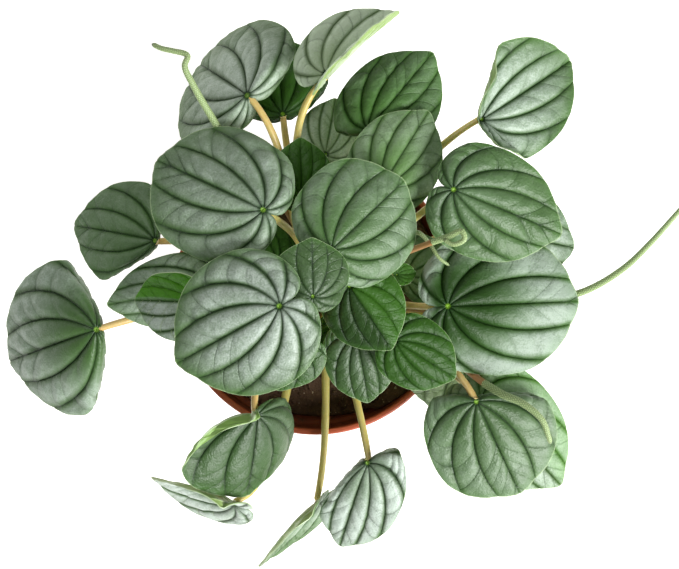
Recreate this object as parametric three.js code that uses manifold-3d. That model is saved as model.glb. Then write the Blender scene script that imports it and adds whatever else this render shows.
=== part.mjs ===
// A potted peperomia: a rosette of ribbed, heart-shaped leaves on long stalks, with five flower
// spikes, growing in a 12 cm terracotta-coloured plastic nursery pot filled with potting soil.
// Millimetres, +Z up. The origin is the centre of the pot's flat base.
import * as THREE from 'three';
import { mergeVertices } from 'three/addons/utils/BufferGeometryUtils.js';
import Module from 'manifold-3d';

const wasm = await Module();
wasm.setup();

// Pieces that touch each other on the plant keep this gap.
const GAP = 0.3;

// A tapered pot with a wider collar, a bead round its rim and drain holes in its floor.
const POT = {
  height: 104,
  rimRadius: 60,
  beadHeight: 2.4,
  beadDepth: 0.9,
  edgeChamfer: 0.6,
  collarHeight: 13,
  collarFlare: 1,
  collarStep: 2.6,
  shoulder: 1,
  draft: 0.7,
  baseRadius: 42,
  footChamfer: 1.2,
  wall: 1.8,
  floor: 2.4,
  floorChamfer: 2,
  holes: 6,
  holeRadius: 4,
  holeSides: 16,
  holeCircle: 27,
  sides: 36,
};

// The soil's top is uneven: it lies low at the front wall and is heaped up beside it.
const SOIL = {
  top: 93,
  middle: 2,
  rings: 6,
  bumps: 1.1,
  dip: { depth: 9, angle: 262, halfWidth: 60, power: 3 },
  heap: { height: 7, angle: 318, halfWidth: 45, power: 4 },
  clearOfLedge: 3.5,
  skirt: 1,
  seed: 7,
};

// The short stem in the soil: shares of its half widths, and heights over its bottom. The
// stalks start round its middle, rootHeight over its bottom.
const CROWN = {
  centre: [4, 1],
  halfWidth: [17, 13],
  bottom: 76,
  side: [[0, 0], [0.62, 0], [0.9, 9], [1, 15]],
  cap: [[0.86, 21], [0.5, 23], [0, 23]],
  sides: 12,
  rootHeight: 17,
  rootSpread: 0.62,
  spreadReach: 25,
};

const BLADE_THICKNESS = 0.8;
const SMALL_LEAF = 40;

// A stalk rises from its root, leans outwards on its way and arrives under its blade.
const STALK = {
  rootRadius: 2.0,
  jointRadius: 1.25,
  sides: 5,
  steps: 6,
  outwards: 0.12,
  arrival: 0.35,
  clearance: 0.4,
};

// The flat outline of a leaf round the joint with its stalk: degrees from the tip's direction,
// and the distance to the edge as a share of the distance to the tip.
const OUTLINE = [
  [0, 1], [10, 0.92], [22, 0.87], [38, 0.815], [60, 0.7], [85, 0.57],
  [110, 0.43], [135, 0.325], [158, 0.25], [172, 0.17], [180, 0.1],
];
const OUTLINE_WIDTH = 1.21;

// A full leaf is rounder up to this angle from its tip.
const FULL_REACH = 80;

// The main veins leave the joint at these angles from the midrib, on both sides, and swing
// towards the tip on their way to the edge.
const VEIN_ANGLES = [0, 42, 78, 112, 146];
const VEIN_SWEEP = 44;
const FOLDED_SWEEP = 12;

// The blade swells between its veins by a share of its length, also at its waved edge, and less
// where the edge is near the joint.
const QUILT = { height: 0.028, edge: 0.3, room: 0.45, across: 0.7, along: 0.8 };

// An edge's bend is spread over a share of the leaf's length, after a first share at the joint.
const BEND = { reach: 0.8, first: 0.3 };

// Each leaf: where its stalk meets the blade, the direction of its tip (heading from +X, pitch
// up from level, roll), its length and width, and how far the blade bends up (+) or down (-)
// towards its tip, left edge, back and right edge, in degrees.
//   left, right: a fold of that half, as its line's angle from the tip and its turn down (+) or
//     up (-); curl is how fast the fold's radius grows along the line, and crease is how far
//     the line bows backwards at its middle
//   full: how much rounder than the common outline it is on both sides of its tip
//   lobe: the length of the two back lobes, 1 when left out; sinus: how near the joint the notch
//     between them ends
//   lean: the angle between the blade's normal and the end of the stalk; side: the direction
//     from which the stalk arrives, round the normal; rise: how straight up it starts; bow: a
//     shift of its middle
const LEAVES = [
  { at: [-19, 32, 183], aim: [153, -3, 6], size: [52, 54], bend: [-22, -22, -80, -45],
    full: 0.08, lobe: 0.6 },
  { at: [7, 17, 179], aim: [43, -3, 4], size: [43, 50], bend: [-18, -22, -60, -50],
    full: 0.07, lobe: 0.7, side: 45 },
  { at: [-12.5, -4.5, 192], aim: [209, -4, 0], size: [49, 56], bend: [-18, -25, -20, -20],
    side: -70, bow: [1, -4, 0] },
  { at: [-87.5, -14.5, 144], aim: [199, -16, 0], size: [61, 68], bend: [-36, -33, -40, -30],
    left: [52, 94], right: [70, 94], lean: 75, rise: 0.22, bow: [0, 0, -3] },
  { at: [-63, 21, 154], aim: [167, -8, 6], size: [41, 45], bend: [-28, -45, -30, -12],
    left: [43, 85], right: [64, 90], lean: 75, rise: 0.2, bow: [4, 9, -4] },
  { at: [-40.5, 3, 152], aim: [190, 3, 0], size: [45, 31], bend: [-18, -70, -20, -20] },
  { at: [-43.5, -3.5, 166], aim: [178, -10, 0], size: [29, 31], bend: [-10, -5, -20, -5],
    right: [6, -50], curl: 0.3, lean: 70, rise: 0.75 },
  { at: [-26, 77.5, 165], aim: [142, -38, 0], size: [50, 62], bend: [-25, -22, -30, -10],
    left: [64, 85], right: [86, 95], lean: 60, rise: 0.3, bow: [-8, 0, 0] },
  { at: [-12.5, 71.5, 150], aim: [95, -12, 0], size: [38, 40], bend: [-20, -20, -30, -20],
    left: [70, 75], right: [52, 75], lean: 75 },
  { at: [5, 85, 170], aim: [43, -8, -6], size: [42, 38], bend: [-15, -45, -20, 0],
    right: [-4, -85], lean: 75, rise: 0.3 },
  { at: [21.5, 64.5, 156], aim: [51, -3, 0], size: [43.5, 39], bend: [-15, -40, -60, -25],
    left: [125, 70], right: [120, 70], lean: 60 },
  { at: [26.5, 42, 163], aim: [58, 0, 0], size: [37.5, 37], bend: [-18, -20, -20, -45] },
  { at: [4.5, 56, 140], aim: [80, 5, 0], size: [24, 25], bend: [-15, -15, -15, -15] },
  { at: [-4.5, 38, 160], aim: [92, 10, 0], size: [24, 25], bend: [-15, -15, -15, -15] },
  { at: [67, 70, 142], aim: [31, -8, 12], size: [51, 47], bend: [-20, 30, 0, 10],
    left: [46, -66], right: [66, -66], curl: 0.12, lean: 75 },
  { at: [54.5, 40.5, 167], aim: [-21, -6, 0], size: [51, 45], bend: [-18, -22, -50, -30],
    lobe: 0.6, sinus: 0.1, side: 60, rise: 0.62 },
  { at: [72, 25, 138], aim: [-10, -10, 0], size: [40, 42], bend: [-20, -20, -20, -20], rise: 0.25 },
  { at: [53, -5, 154.5], aim: [2, -5, 0], size: [60, 57], bend: [-18, -30, -50, -35],
    full: 0.07, lobe: 0.75, sinus: 0.09, lean: 75 },
  { at: [64.5, -43, 152], aim: [-64, -8, 0], size: [48, 52], bend: [-18, -25, -60, -25],
    full: 0.07, left: [60, 75], right: [114, 75], lean: 70, rise: 0.25 },
  { at: [67.5, -43, 138], aim: [-47, -6, 0], size: [52, 44], bend: [-12, -15, -20, -20], rise: 0.5 },
  { at: [58.5, -24, 124], aim: [-105, -20, 0], size: [32, 42], bend: [-15, -15, -20, -15] },
  { at: [32, -18.5, 160], aim: [-32, -5, 0], size: [31, 29], bend: [-20, -20, -20, -20],
    lobe: 0.6, bow: [4, 8, 0] },
  { at: [14, 3, 167], aim: [-57, 0, 2], size: [31, 34], bend: [-12, -35, -60, -50] },
  { at: [17, -17, 148], aim: [-80, -5, 0], size: [30, 30], bend: [-20, -20, -20, -20] },
  { at: [0, -1, 184.5], aim: [91, 12, 2], size: [23, 32], bend: [-10, -15, -20, -60],
    lobe: 1.25 },
  { at: [-23, -49, 144], aim: [268, -12, -24], size: [40, 61], bend: [-20, -72, -60, 0],
    full: 0.07, lobe: 0.4, right: [50, -160], curl: 0.03, crease: 8.5, lean: 65 },
  { at: [-33.5, -87, 123], aim: [157, -10, -50], size: [37, 44], bend: [10, -20, -30, 80],
    rise: 0.2, bow: [-9, 0, -3] },
  { at: [1.5, -88, 106], aim: [221, -15, -64], size: [40, 42], bend: [10, -10, -30, 60],
    lobe: 0.8, rise: 0.3 },
  { at: [21.5, -68.5, 138], aim: [250, -20, 12], size: [47, 38], bend: [-18, -15, -30, -20],
    left: [122, 70], right: [18, 80], lean: 60, side: 41 },
  { at: [37, 7, 134], aim: [30, -10, 0], size: [24, 30], bend: [-20, -20, -20, -20], lobe: 0.6 },
  { at: [33, 7.5, 148], aim: [5, 10, 0], size: [8, 9], bend: [-10, 20, 10, 20] },
  { at: [-15, 12, 146], aim: [135, -5, 0], size: [28, 24], bend: [-20, -20, -20, -20], lobe: 0.7 },
  { at: [-11, -18.5, 160], aim: [262, -5, 0], size: [29, 36], bend: [-20, -20, -20, -20], lobe: 0.5 },
  { at: [8, -13, 139.5], aim: [-90, -5, 0], size: [20, 16], bend: [-20, -20, -20, -20] },
];

const LEAF_DEFAULTS = {
  lobe: 1, full: 0, lean: 49, side: 0, rise: 0.45, bow: [0, 0, 0], curl: 0.06,
  crease: 0,
};

// A fold that turns by this many degrees has this radius at the joint, as a share of the leaf's
// length. Where both sides fold, what lies behind them shares backShare degrees on each side.
const FOLD = { radius: 0.02, turn: 60, backShare: 90 };

// Flower spikes: the stalk's points, then the points of the green spike.
const SPIKES = [
  { radius: 1.5,
    stalk: [[-4, 8, 92], [-8, 28, 126], [-18, 44, 140]],
    spike: [[-18, 44, 140], [-29, 55, 150], [-36, 63, 159.5], [-41, 71, 168], [-46, 80, 177],
      [-49, 87, 181], [-48, 91, 181], [-54, 93, 180], [-58, 94, 179], [-62, 96, 177]] },
  { radius: 1.5,
    stalk: [[14, 0, 97], [36, -6, 114], [64, -7, 120]],
    spike: [[64, -7, 120], [91, -4, 126], [110, 1, 134], [124, 10, 144], [134, 21, 155],
      [143, 32, 161], [150, 40, 164]] },
  { radius: 1.5,
    stalk: [[12, -6, 92], [30, -16, 118], [56, -27, 135], [68, -36, 147]],
    spike: [[68, -36, 147], [75, -40, 157], [82, -43, 162], [89, -49, 164], [92, -56, 162],
      [93, -59, 160]] },
  { radius: 1.2,
    stalk: [[12, 6, 92], [22, 11, 130], [30, 14, 149], [38, 17, 160], [46, 20, 170]],
    spike: [[46, 20, 170], [52, 22, 174], [57, 24, 177], [58, 21, 177], [54, 19, 176],
      [50, 21, 175]] },
  { radius: 0.9,
    stalk: [[13, 8, 92], [22, 15, 134], [33, 23, 150]],
    spike: [[33, 23, 150], [41, 24, 160], [45, 20, 163], [49, 14, 165], [53, 11, 164]] },
];

const FLORETS = { step: 3.4, swell: 0.2, sides: 5, tip: 0.6 };

const COLOURS = {
  pot: 0x9a3b27,
  soil: 0x3a2a20,
  crown: 0xb59a5e,
  silver: 0x8fa394,
  green: 0x4f7a48,
  spike: 0x8aa06a,
};
const GREEN_LEAVES = [6, 7, 9, 11, 13, 14, 17, 20, 22, 23, 33, 34];

const rad = THREE.MathUtils.degToRad;
const clamp = THREE.MathUtils.clamp;
const UP = new THREE.Vector3(0, 0, 1);

// Solids and geometries

function cleaned(geometry) {
  geometry.deleteAttribute('normal');
  geometry.deleteAttribute('uv');
  return mergeVertices(geometry, 1e-4);
}

function toSolid(geometry) {
  const merged = cleaned(geometry);
  const index = merged.index.array;
  const triangles = [];
  for (let i = 0; i < index.length; i += 3) {
    const [a, b, c] = [index[i], index[i + 1], index[i + 2]];
    if (a !== b && b !== c && c !== a) triangles.push(a, b, c);
  }
  return new wasm.Manifold(new wasm.Mesh({
    numProp: 3,
    vertProperties: new Float32Array(merged.attributes.position.array),
    triVerts: new Uint32Array(triangles),
  }));
}

function toGeometry(solid) {
  const mesh = solid.getMesh();
  return geometryOf(mesh.vertProperties, mesh.triVerts);
}

function geometryOf(positions, index) {
  const geometry = new THREE.BufferGeometry();
  geometry.setAttribute('position', new THREE.BufferAttribute(new Float32Array(positions), 3));
  geometry.setIndex(Array.from(index));
  geometry.computeVertexNormals();
  return geometry;
}

// A curve through [x, y] points with rounded corners, read at x.
function readCurve(points, x) {
  const last = points.length - 1;
  let i = 0;
  while (i < last - 1 && points[i + 1][0] <= x) i += 1;
  const slope = (k) => {
    const before = points[Math.max(k - 1, 0)];
    const after = points[Math.min(k + 1, last)];
    return (after[1] - before[1]) / (after[0] - before[0]);
  };
  const [x0, y0] = points[i];
  const [x1, y1] = points[i + 1];
  const span = x1 - x0;
  const t = (x - x0) / span;
  return (2 * t ** 3 - 3 * t ** 2 + 1) * y0 + (t ** 3 - 2 * t ** 2 + t) * span * slope(i)
    + (3 * t ** 2 - 2 * t ** 3) * y1 + (t ** 3 - t ** 2) * span * slope(i + 1);
}

// The edge's distance from the joint as a share of the leaf's length.
function outlineShare(leaf, angle) {
  const { lobe, full } = { ...LEAF_DEFAULTS, ...leaf };
  const shortened = 1 - (1 - lobe) * Math.max(-Math.cos(rad(angle)), 0);
  const fuller = 1 + full * Math.sin(Math.PI * Math.min(angle / FULL_REACH, 1)) ** 2;
  const last = OUTLINE.length - 1;
  const notch = [...OUTLINE.slice(0, last), [180, leaf.sinus ?? OUTLINE[last][1]]];
  return readCurve(notch, angle) * shortened * fuller;
}

// Height of the blade's quilting over its smooth surface, as a share of the leaf's length:
// nothing over a main vein, most half way between two, and less where the edge (share) is near.
function quilting(phi, t, share) {
  const veins = [...VEIN_ANGLES, 180];
  const angle = Math.abs(phi);
  let i = 0;
  while (i < veins.length - 2 && veins[i + 1] <= angle) i += 1;
  const between = clamp((angle - veins[i]) / (veins[i + 1] - veins[i]), 0, 1);
  const across = Math.max(Math.sin(Math.PI * between), 0) ** QUILT.across;
  const along = Math.max(Math.sin(Math.PI * t ** QUILT.along), 0) ** QUILT.along;
  const room = Math.min(1, share / QUILT.room);
  return QUILT.height * room * across * (along + QUILT.edge * t ** 3);
}

// The blade's smooth surface at a distance from the joint in the direction angle: how far out it
// lies, how high, and its slope there.
function dome(leaf, angle, distance) {
  const [tip, left, back, right] = leaf.bend;
  const c = Math.cos(angle);
  const s = Math.sin(angle);
  const bend = rad((tip * Math.max(c, 0) + back * Math.max(-c, 0)
    + left * Math.max(s, 0) + right * Math.max(-s, 0)) / (Math.abs(c) + Math.abs(s)));
  const start = bend * BEND.first;
  const rate = bend * (1 - BEND.first) / (BEND.reach * leaf.size[0]);
  const slope = start + rate * distance;
  const straight = Math.abs(rate) < 1e-9;
  const run = straight ? distance * Math.cos(start) : (Math.sin(slope) - Math.sin(start)) / rate;
  const rise = straight ? distance * Math.sin(start) : (Math.cos(start) - Math.cos(slope)) / rate;
  return { run, rise, slope };
}

// Turns the part of a blade that lies behind a line through the joint, round a cone that widens
// along the line. side is 1 for the left half and -1 for the right one.
function fold(leaf, point, side) {
  const [line, turn] = side > 0 ? leaf.left : leaf.right;
  const direction = [Math.cos(rad(line)), side * Math.sin(rad(line))];
  const backwards = [-Math.sin(rad(line)), side * Math.cos(rad(line))];
  const reach = Math.hypot(point.x, point.y);
  let beyond = Math.atan2(side * point.y, point.x) - rad(line);
  if (beyond < -Math.PI) beyond += 2 * Math.PI;
  if (beyond <= 0) return point;
  if (leaf.left && leaf.right) beyond *= Math.min(1, FOLD.backShare / (180 - line));
  const along = reach * Math.cos(beyond);
  const ahead = Math.max(along, 0);
  const bowed = (leaf.crease ?? LEAF_DEFAULTS.crease)
    * Math.sin(Math.PI * Math.min(ahead / leaf.size[0], 1));
  const behind = reach * Math.sin(beyond) - bowed;
  if (behind <= 0) return point;
  const onLine = dome(leaf, side * rad(line), ahead).rise;
  const above = point.z - onLine;
  const tightest = FOLD.radius * leaf.size[0] * Math.abs(turn) / FOLD.turn;
  const radius = tightest + (leaf.curl ?? LEAF_DEFAULTS.curl) * ahead;
  const full = rad(Math.abs(turn));
  const sign = Math.sign(turn);
  const turned = Math.min(behind / radius, full);
  const rest = Math.max(0, behind - radius * full);
  const out = bowed + radius * Math.sin(turned) + rest * Math.cos(full)
    + above * sign * Math.sin(turned);
  const down = radius * (1 - Math.cos(turned)) + rest * Math.sin(full);
  return new THREE.Vector3(
    along * direction[0] + out * backwards[0],
    along * direction[1] + out * backwards[1],
    onLine + above * Math.cos(turned) - sign * down,
  );
}

// A point of the blade's middle surface in the leaf's own frame: the joint at the origin, the
// tip along +X. phi is the direction in which its rib leaves the joint, t runs from 0 to 1.
function bladePoint(leaf, phi, t) {
  const [length, width] = leaf.size;
  const sweep = leaf.left || leaf.right ? FOLDED_SWEEP : VEIN_SWEEP;
  const swing = sweep * Math.sin(rad(Math.abs(phi))) * Math.sign(phi);
  const edge = phi - swing;
  const theta = rad(edge + swing * (1 - t));
  const share = outlineShare(leaf, Math.abs(edge));
  const reach = t * share * length;
  const flatX = reach * Math.cos(theta);
  const flatY = reach * Math.sin(theta) * width / (OUTLINE_WIDTH * length);
  const angle = Math.atan2(flatY, flatX);
  const { run, rise, slope } = dome(leaf, angle, Math.hypot(flatX, flatY));
  const lift = quilting(phi, t, share) * length;
  const out = run - Math.sin(slope) * lift;
  const point = new THREE.Vector3(
    out * Math.cos(angle),
    out * Math.sin(angle),
    rise + Math.cos(slope) * lift,
  );
  const leftward = leaf.left ? fold(leaf, point, 1) : point;
  const rightward = leaf.right ? fold(leaf, point, -1) : point;
  if (Math.abs(phi) === 180) return leftward.clone().lerp(rightward, 0.5);
  return phi > 0 ? leftward : rightward;
}

function leafFrame(leaf) {
  const [heading, pitch, roll] = leaf.aim.map(rad);
  return new THREE.Matrix4().makeRotationZ(heading)
    .multiply(new THREE.Matrix4().makeRotationY(-pitch))
    .multiply(new THREE.Matrix4().makeRotationX(roll))
    .setPosition(...leaf.at);
}

// Ribs run along the veins and half way between them, so each blade is pleated like the leaf.
const HALF_RIBS = VEIN_ANGLES.flatMap((angle, i) => {
  const next = VEIN_ANGLES[i + 1] ?? 180;
  return [angle, (angle + next) / 2];
}).slice(1);
const RIBS = [0, ...HALF_RIBS, 180, ...HALF_RIBS.toReversed().map((angle) => -angle)];

function ringShares(leaf) {
  if (leaf.left || leaf.right) return [0.25, 0.5, 0.75, 1];
  return leaf.size[0] < SMALL_LEAF ? [0.5, 1] : [0.3, 0.65, 1];
}

// The closed blade: the middle surface moved half the thickness to both sides. Each quad is cut
// along its shorter diagonal, which is mirrored from the left half to the right one.
function bladeGeometry(leaf) {
  const rings = ringShares(leaf);
  const ribs = RIBS.length;
  const middle = [bladePoint(leaf, 0, 0)];
  for (const t of rings) {
    for (const phi of RIBS) middle.push(bladePoint(leaf, phi, t));
  }
  const at = (ring, rib) => 1 + ring * ribs + (rib % ribs);
  const faces = [];
  for (let j = 0; j < ribs; j += 1) {
    faces.push([0, at(0, j), at(0, j + 1)]);
    for (let i = 0; i < rings.length - 1; i += 1) {
      const corners = [at(i, j), at(i + 1, j), at(i + 1, j + 1), at(i, j + 1)];
      if (j >= ribs / 2) corners.push(corners.shift());
      const [a, b, c, d] = corners;
      faces.push([a, b, c], [a, c, d]);
    }
  }
  const normals = middle.map(() => new THREE.Vector3());
  for (const face of faces) {
    const [a, b, c] = face.map((k) => middle[k]);
    const normal = b.clone().sub(a).cross(c.clone().sub(a));
    for (const k of face) normals[k].add(normal);
  }
  const positions = [];
  for (const side of [1, -1]) {
    middle.forEach((point, k) => {
      const offset = normals[k].clone().normalize().multiplyScalar(side * BLADE_THICKNESS / 2);
      positions.push(...point.clone().add(offset).toArray());
    });
  }
  const under = middle.length;
  const index = faces.flat();
  for (const [a, b, c] of faces) index.push(under + a, under + c, under + b);
  const outer = rings.length - 1;
  for (let j = 0; j < ribs; j += 1) {
    const a = at(outer, j);
    const b = at(outer, j + 1);
    index.push(a, under + a, under + b, a, under + b, b);
  }
  return geometryOf(positions, index).applyMatrix4(leafFrame(leaf));
}

// A closed rod through points, with a radius at each of them.
function rodGeometry(points, radii, sides) {
  const positions = [];
  const index = [];
  let across = new THREE.Vector3(1, 0, 0);
  points.forEach((point, i) => {
    const before = points[Math.max(i - 1, 0)];
    const after = points[Math.min(i + 1, points.length - 1)];
    const tangent = after.clone().sub(before).normalize();
    across = across.clone().addScaledVector(tangent, -across.dot(tangent)).normalize();
    const other = tangent.clone().cross(across);
    for (let k = 0; k < sides; k += 1) {
      const angle = 2 * Math.PI * k / sides;
      const place = point.clone()
        .addScaledVector(across, radii[i] * Math.cos(angle))
        .addScaledVector(other, radii[i] * Math.sin(angle));
      positions.push(...place.toArray());
    }
  });
  const last = (points.length - 1) * sides;
  for (let i = 0; i < points.length - 1; i += 1) {
    for (let k = 0; k < sides; k += 1) {
      const a = i * sides + k;
      const b = i * sides + (k + 1) % sides;
      index.push(a, b, b + sides, a, b + sides, a + sides);
    }
  }
  for (let k = 1; k < sides - 1; k += 1) {
    index.push(0, k + 1, k, last, last + k, last + k + 1);
  }
  return geometryOf(positions, index);
}

// Leaf stalks

function stalkCurve(leaf) {
  const frame = leafFrame(leaf);
  const way = { ...LEAF_DEFAULTS, ...leaf };
  const lean = rad(way.lean);
  const side = rad(way.side);
  const under = BLADE_THICKNESS / 2 + STALK.clearance + STALK.jointRadius * Math.sin(lean);
  const joint = new THREE.Vector3(0, 0, -under).applyMatrix4(frame);
  const arrive = new THREE.Vector3(
    Math.sin(lean) * Math.cos(side),
    Math.sin(lean) * Math.sin(side),
    Math.cos(lean),
  ).transformDirection(frame);
  const [cx, cy] = CROWN.centre;
  const away = new THREE.Vector3(joint.x - cx, joint.y - cy, 0);
  const spread = CROWN.rootSpread * Math.min(1, away.length() / CROWN.spreadReach);
  away.normalize();
  const root = new THREE.Vector3(
    cx + away.x * CROWN.halfWidth[0] * spread,
    cy + away.y * CROWN.halfWidth[1] * spread,
    CROWN.bottom + CROWN.rootHeight,
  );
  const distance = joint.distanceTo(root);
  const bow = new THREE.Vector3(...way.bow);
  const first = root.clone().addScaledVector(UP, distance * way.rise)
    .addScaledVector(away, distance * STALK.outwards).add(bow);
  const second = joint.clone().addScaledVector(arrive, -distance * STALK.arrival).add(bow);
  return new THREE.CubicBezierCurve3(root, first, second, joint);
}

function stalkGeometry(leaf, extra = 0) {
  const curve = stalkCurve(leaf);
  const points = curve.getPoints(STALK.steps);
  const radii = points.map((_, i) => {
    const share = i / STALK.steps;
    return THREE.MathUtils.lerp(STALK.rootRadius, STALK.jointRadius, share) + extra;
  });
  points[STALK.steps].addScaledVector(curve.getTangent(1), extra);
  return rodGeometry(points, radii, STALK.sides);
}

// Pot

function potSection() {
  const p = POT;
  const collarFoot = p.height - p.collarHeight;
  const collarInner = p.rimRadius - p.beadDepth - p.wall;
  const bodyTop = p.rimRadius - p.collarFlare - p.collarStep;
  return {
    outer: [
      [0, 0],
      [p.baseRadius - p.footChamfer, 0],
      [p.baseRadius, p.footChamfer],
      [bodyTop, collarFoot],
      [p.rimRadius - p.collarFlare, collarFoot + p.shoulder],
      [p.rimRadius - p.beadDepth, p.height - p.beadHeight - p.edgeChamfer],
      [p.rimRadius, p.height - p.beadHeight],
      [p.rimRadius, p.height - p.edgeChamfer],
      [p.rimRadius - p.edgeChamfer, p.height],
    ],
    inner: [
      [collarInner + p.edgeChamfer, p.height],
      [collarInner, p.height - p.edgeChamfer],
      [collarInner - p.draft, collarFoot + p.edgeChamfer],
      [bodyTop - p.wall, collarFoot - p.shoulder],
      [p.baseRadius - p.wall, p.floor + p.floorChamfer],
      [p.baseRadius - p.wall - p.floorChamfer, p.floor],
      [0, p.floor],
    ],
  };
}

function lathe(profile, sides) {
  const points = profile.map(([r, z]) => new THREE.Vector2(r, z));
  return new THREE.LatheGeometry(points, sides).rotateX(Math.PI / 2);
}

function potSolid() {
  const { outer, inner } = potSection();
  let solid = toSolid(lathe([...outer, ...inner], POT.sides));
  for (let i = 0; i < POT.holes; i += 1) {
    const angle = 2 * Math.PI * (i + 0.5) / POT.holes;
    const hole = new THREE.CylinderGeometry(
      POT.holeRadius, POT.holeRadius, 4 * POT.floor, POT.holeSides,
    )
      .rotateX(Math.PI / 2)
      .translate(POT.holeCircle * Math.cos(angle), POT.holeCircle * Math.sin(angle), 0);
    solid = solid.subtract(toSolid(hole));
  }
  return solid;
}

// Soil

function seeded(seed) {
  let state = seed;
  return () => {
    state = (state * 1664525 + 1013904223) % 4294967296;
    return state / 4294967296;
  };
}

function facing(angle, centre, halfWidth) {
  const away = Math.abs(((angle - centre + 540) % 360) - 180);
  return away < halfWidth ? Math.cos(rad(90 * away / halfWidth)) ** 2 : 0;
}

function soilTop(share, degrees) {
  const { dip, heap } = SOIL;
  return SOIL.top + SOIL.middle * (1 - share)
    - dip.depth * share ** dip.power * facing(degrees, dip.angle, dip.halfWidth)
    + heap.height * share ** heap.power * facing(degrees, heap.angle, heap.halfWidth);
}

function potInnerRadius(z) {
  const wall = potSection().inner.toReversed();
  const above = wall.findIndex(([, height], i) => i > 1 && height >= z);
  const [r0, z0] = wall[above - 1];
  const [r1, z1] = wall[above];
  return r0 + (r1 - r0) * (z - z0) / (z1 - z0);
}

// The soil stays inside the ledge until it is well above it.
function soilRadius(z) {
  const ledge = POT.height - POT.collarHeight - POT.shoulder;
  return potInnerRadius(z < ledge + SOIL.clearOfLedge ? Math.min(z, ledge) : z) - GAP;
}

// The soil fills the pot to an uneven top: rings from the middle outwards, then down the wall.
function soilBody() {
  const random = seeded(SOIL.seed);
  const n = POT.sides;
  const foot = POT.floor + GAP;
  const corner = foot + POT.floorChamfer;
  const ledge = POT.height - POT.collarHeight - POT.shoulder;
  const positions = [0, 0, SOIL.top + SOIL.middle];
  const put = (k, r, z) => {
    const angle = 2 * Math.PI * k / n;
    positions.push(r * Math.cos(angle), r * Math.sin(angle), z);
  };
  for (let ring = 1; ring <= SOIL.rings; ring += 1) {
    const share = ring / SOIL.rings;
    for (let k = 0; k < n; k += 1) {
      const bump = share < 1 ? SOIL.bumps * (2 * random() - 1) : 0;
      const z = soilTop(share, 360 * k / n) + bump;
      put(k, share * soilRadius(z), z);
    }
  }
  for (let k = 0; k < n; k += 1) {
    const z = Math.min(ledge, soilTop(1, 360 * k / n)) - SOIL.skirt;
    put(k, soilRadius(z), z);
  }
  for (let k = 0; k < n; k += 1) put(k, soilRadius(corner), corner);
  for (let k = 0; k < n; k += 1) put(k, soilRadius(corner) - POT.floorChamfer, foot);
  positions.push(0, 0, foot);
  const rows = SOIL.rings + 3;
  const at = (row, k) => 1 + row * n + (k % n);
  const bottom = 1 + rows * n;
  const index = [];
  for (let k = 0; k < n; k += 1) {
    index.push(0, at(0, k), at(0, k + 1));
    for (let row = 0; row < rows - 1; row += 1) {
      index.push(at(row, k), at(row + 1, k), at(row + 1, k + 1));
      index.push(at(row, k), at(row + 1, k + 1), at(row, k + 1));
    }
    index.push(bottom, at(rows - 1, k + 1), at(rows - 1, k));
  }
  return toSolid(geometryOf(positions, index));
}

// The crown's stub, or the hole for it in the soil with extra room and open upwards.
function crownStub(extra, closing) {
  const [wide, deep] = CROWN.halfWidth.map((half) => half + extra);
  const geometry = lathe([...CROWN.side, ...closing], CROWN.sides)
    .scale(wide, deep, 1)
    .translate(...CROWN.centre, CROWN.bottom - extra);
  return toSolid(geometry);
}

function soilSolid() {
  return soilBody().subtract(crownStub(GAP, [[1, POT.height], [0, POT.height]]));
}

// Flower spikes: a smooth stalk in the crown, and a spike swollen at every ring of florets.

function curveThrough(points) {
  const places = points.map((point) => new THREE.Vector3(...point));
  return new THREE.CatmullRomCurve3(places, false, 'centripetal');
}

function spikeStalkGeometry(flower) {
  const steps = 2 * flower.stalk.length;
  const points = curveThrough(flower.stalk).getPoints(steps);
  const radii = points.map(() => flower.radius);
  return rodGeometry(points, radii, STALK.sides);
}

function spikeGeometry(flower) {
  const curve = curveThrough(flower.spike);
  const length = curve.getLength();
  const steps = 2 * Math.round(length / (2 * FLORETS.step));
  const start = 2 * GAP / length;
  const points = [];
  const radii = [];
  for (let i = 0; i <= steps; i += 1) {
    points.push(curve.getPointAt(THREE.MathUtils.lerp(start, 1, i / steps)));
    const taper = THREE.MathUtils.lerp(1, FLORETS.tip, (i / steps) ** 2);
    const swell = i % 2 ? FLORETS.swell : 0;
    radii.push((flower.radius + swell) * taper);
  }
  return rodGeometry(points, radii, FLORETS.sides);
}

// The crown: a short, thick stem, from which all leaf stalks and flower stalks rise as one body.
function crownSolid() {
  let solid = crownStub(0, CROWN.cap);
  for (const leaf of LEAVES) solid = solid.add(toSolid(stalkGeometry(leaf)));
  for (const flower of SPIKES) solid = solid.add(toSolid(spikeStalkGeometry(flower)));
  return solid;
}

function bladeSolid(leaf) {
  const solid = toSolid(bladeGeometry(leaf));
  if (!leaf.left && !leaf.right) return solid;
  const pieces = solid.subtract(toSolid(stalkGeometry(leaf, GAP))).decompose();
  return pieces.reduce((best, piece) => (piece.volume() > best.volume() ? piece : best));
}

// Assembly

const plant = new THREE.Group();

function add(name, solid, color, roughness) {
  const material = new THREE.MeshStandardMaterial({ color, roughness, metalness: 0 });
  const mesh = new THREE.Mesh(toGeometry(solid), material);
  mesh.name = name;
  plant.add(mesh);
}

add('pot', potSolid(), COLOURS.pot, 0.45);
add('soil', soilSolid(), COLOURS.soil, 0.95);
add('crown', crownSolid(), COLOURS.crown, 0.5);
LEAVES.forEach((leaf, i) => {
  const number = i + 1;
  const color = GREEN_LEAVES.includes(number) ? COLOURS.green : COLOURS.silver;
  add(`leaf_${String(number).padStart(2, '0')}`, bladeSolid(leaf), color, 0.45);
});
SPIKES.forEach((flower, i) => {
  add(`spike_${i + 1}`, toSolid(spikeGeometry(flower)), COLOURS.spike, 0.5);
});

export default plant;
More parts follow.
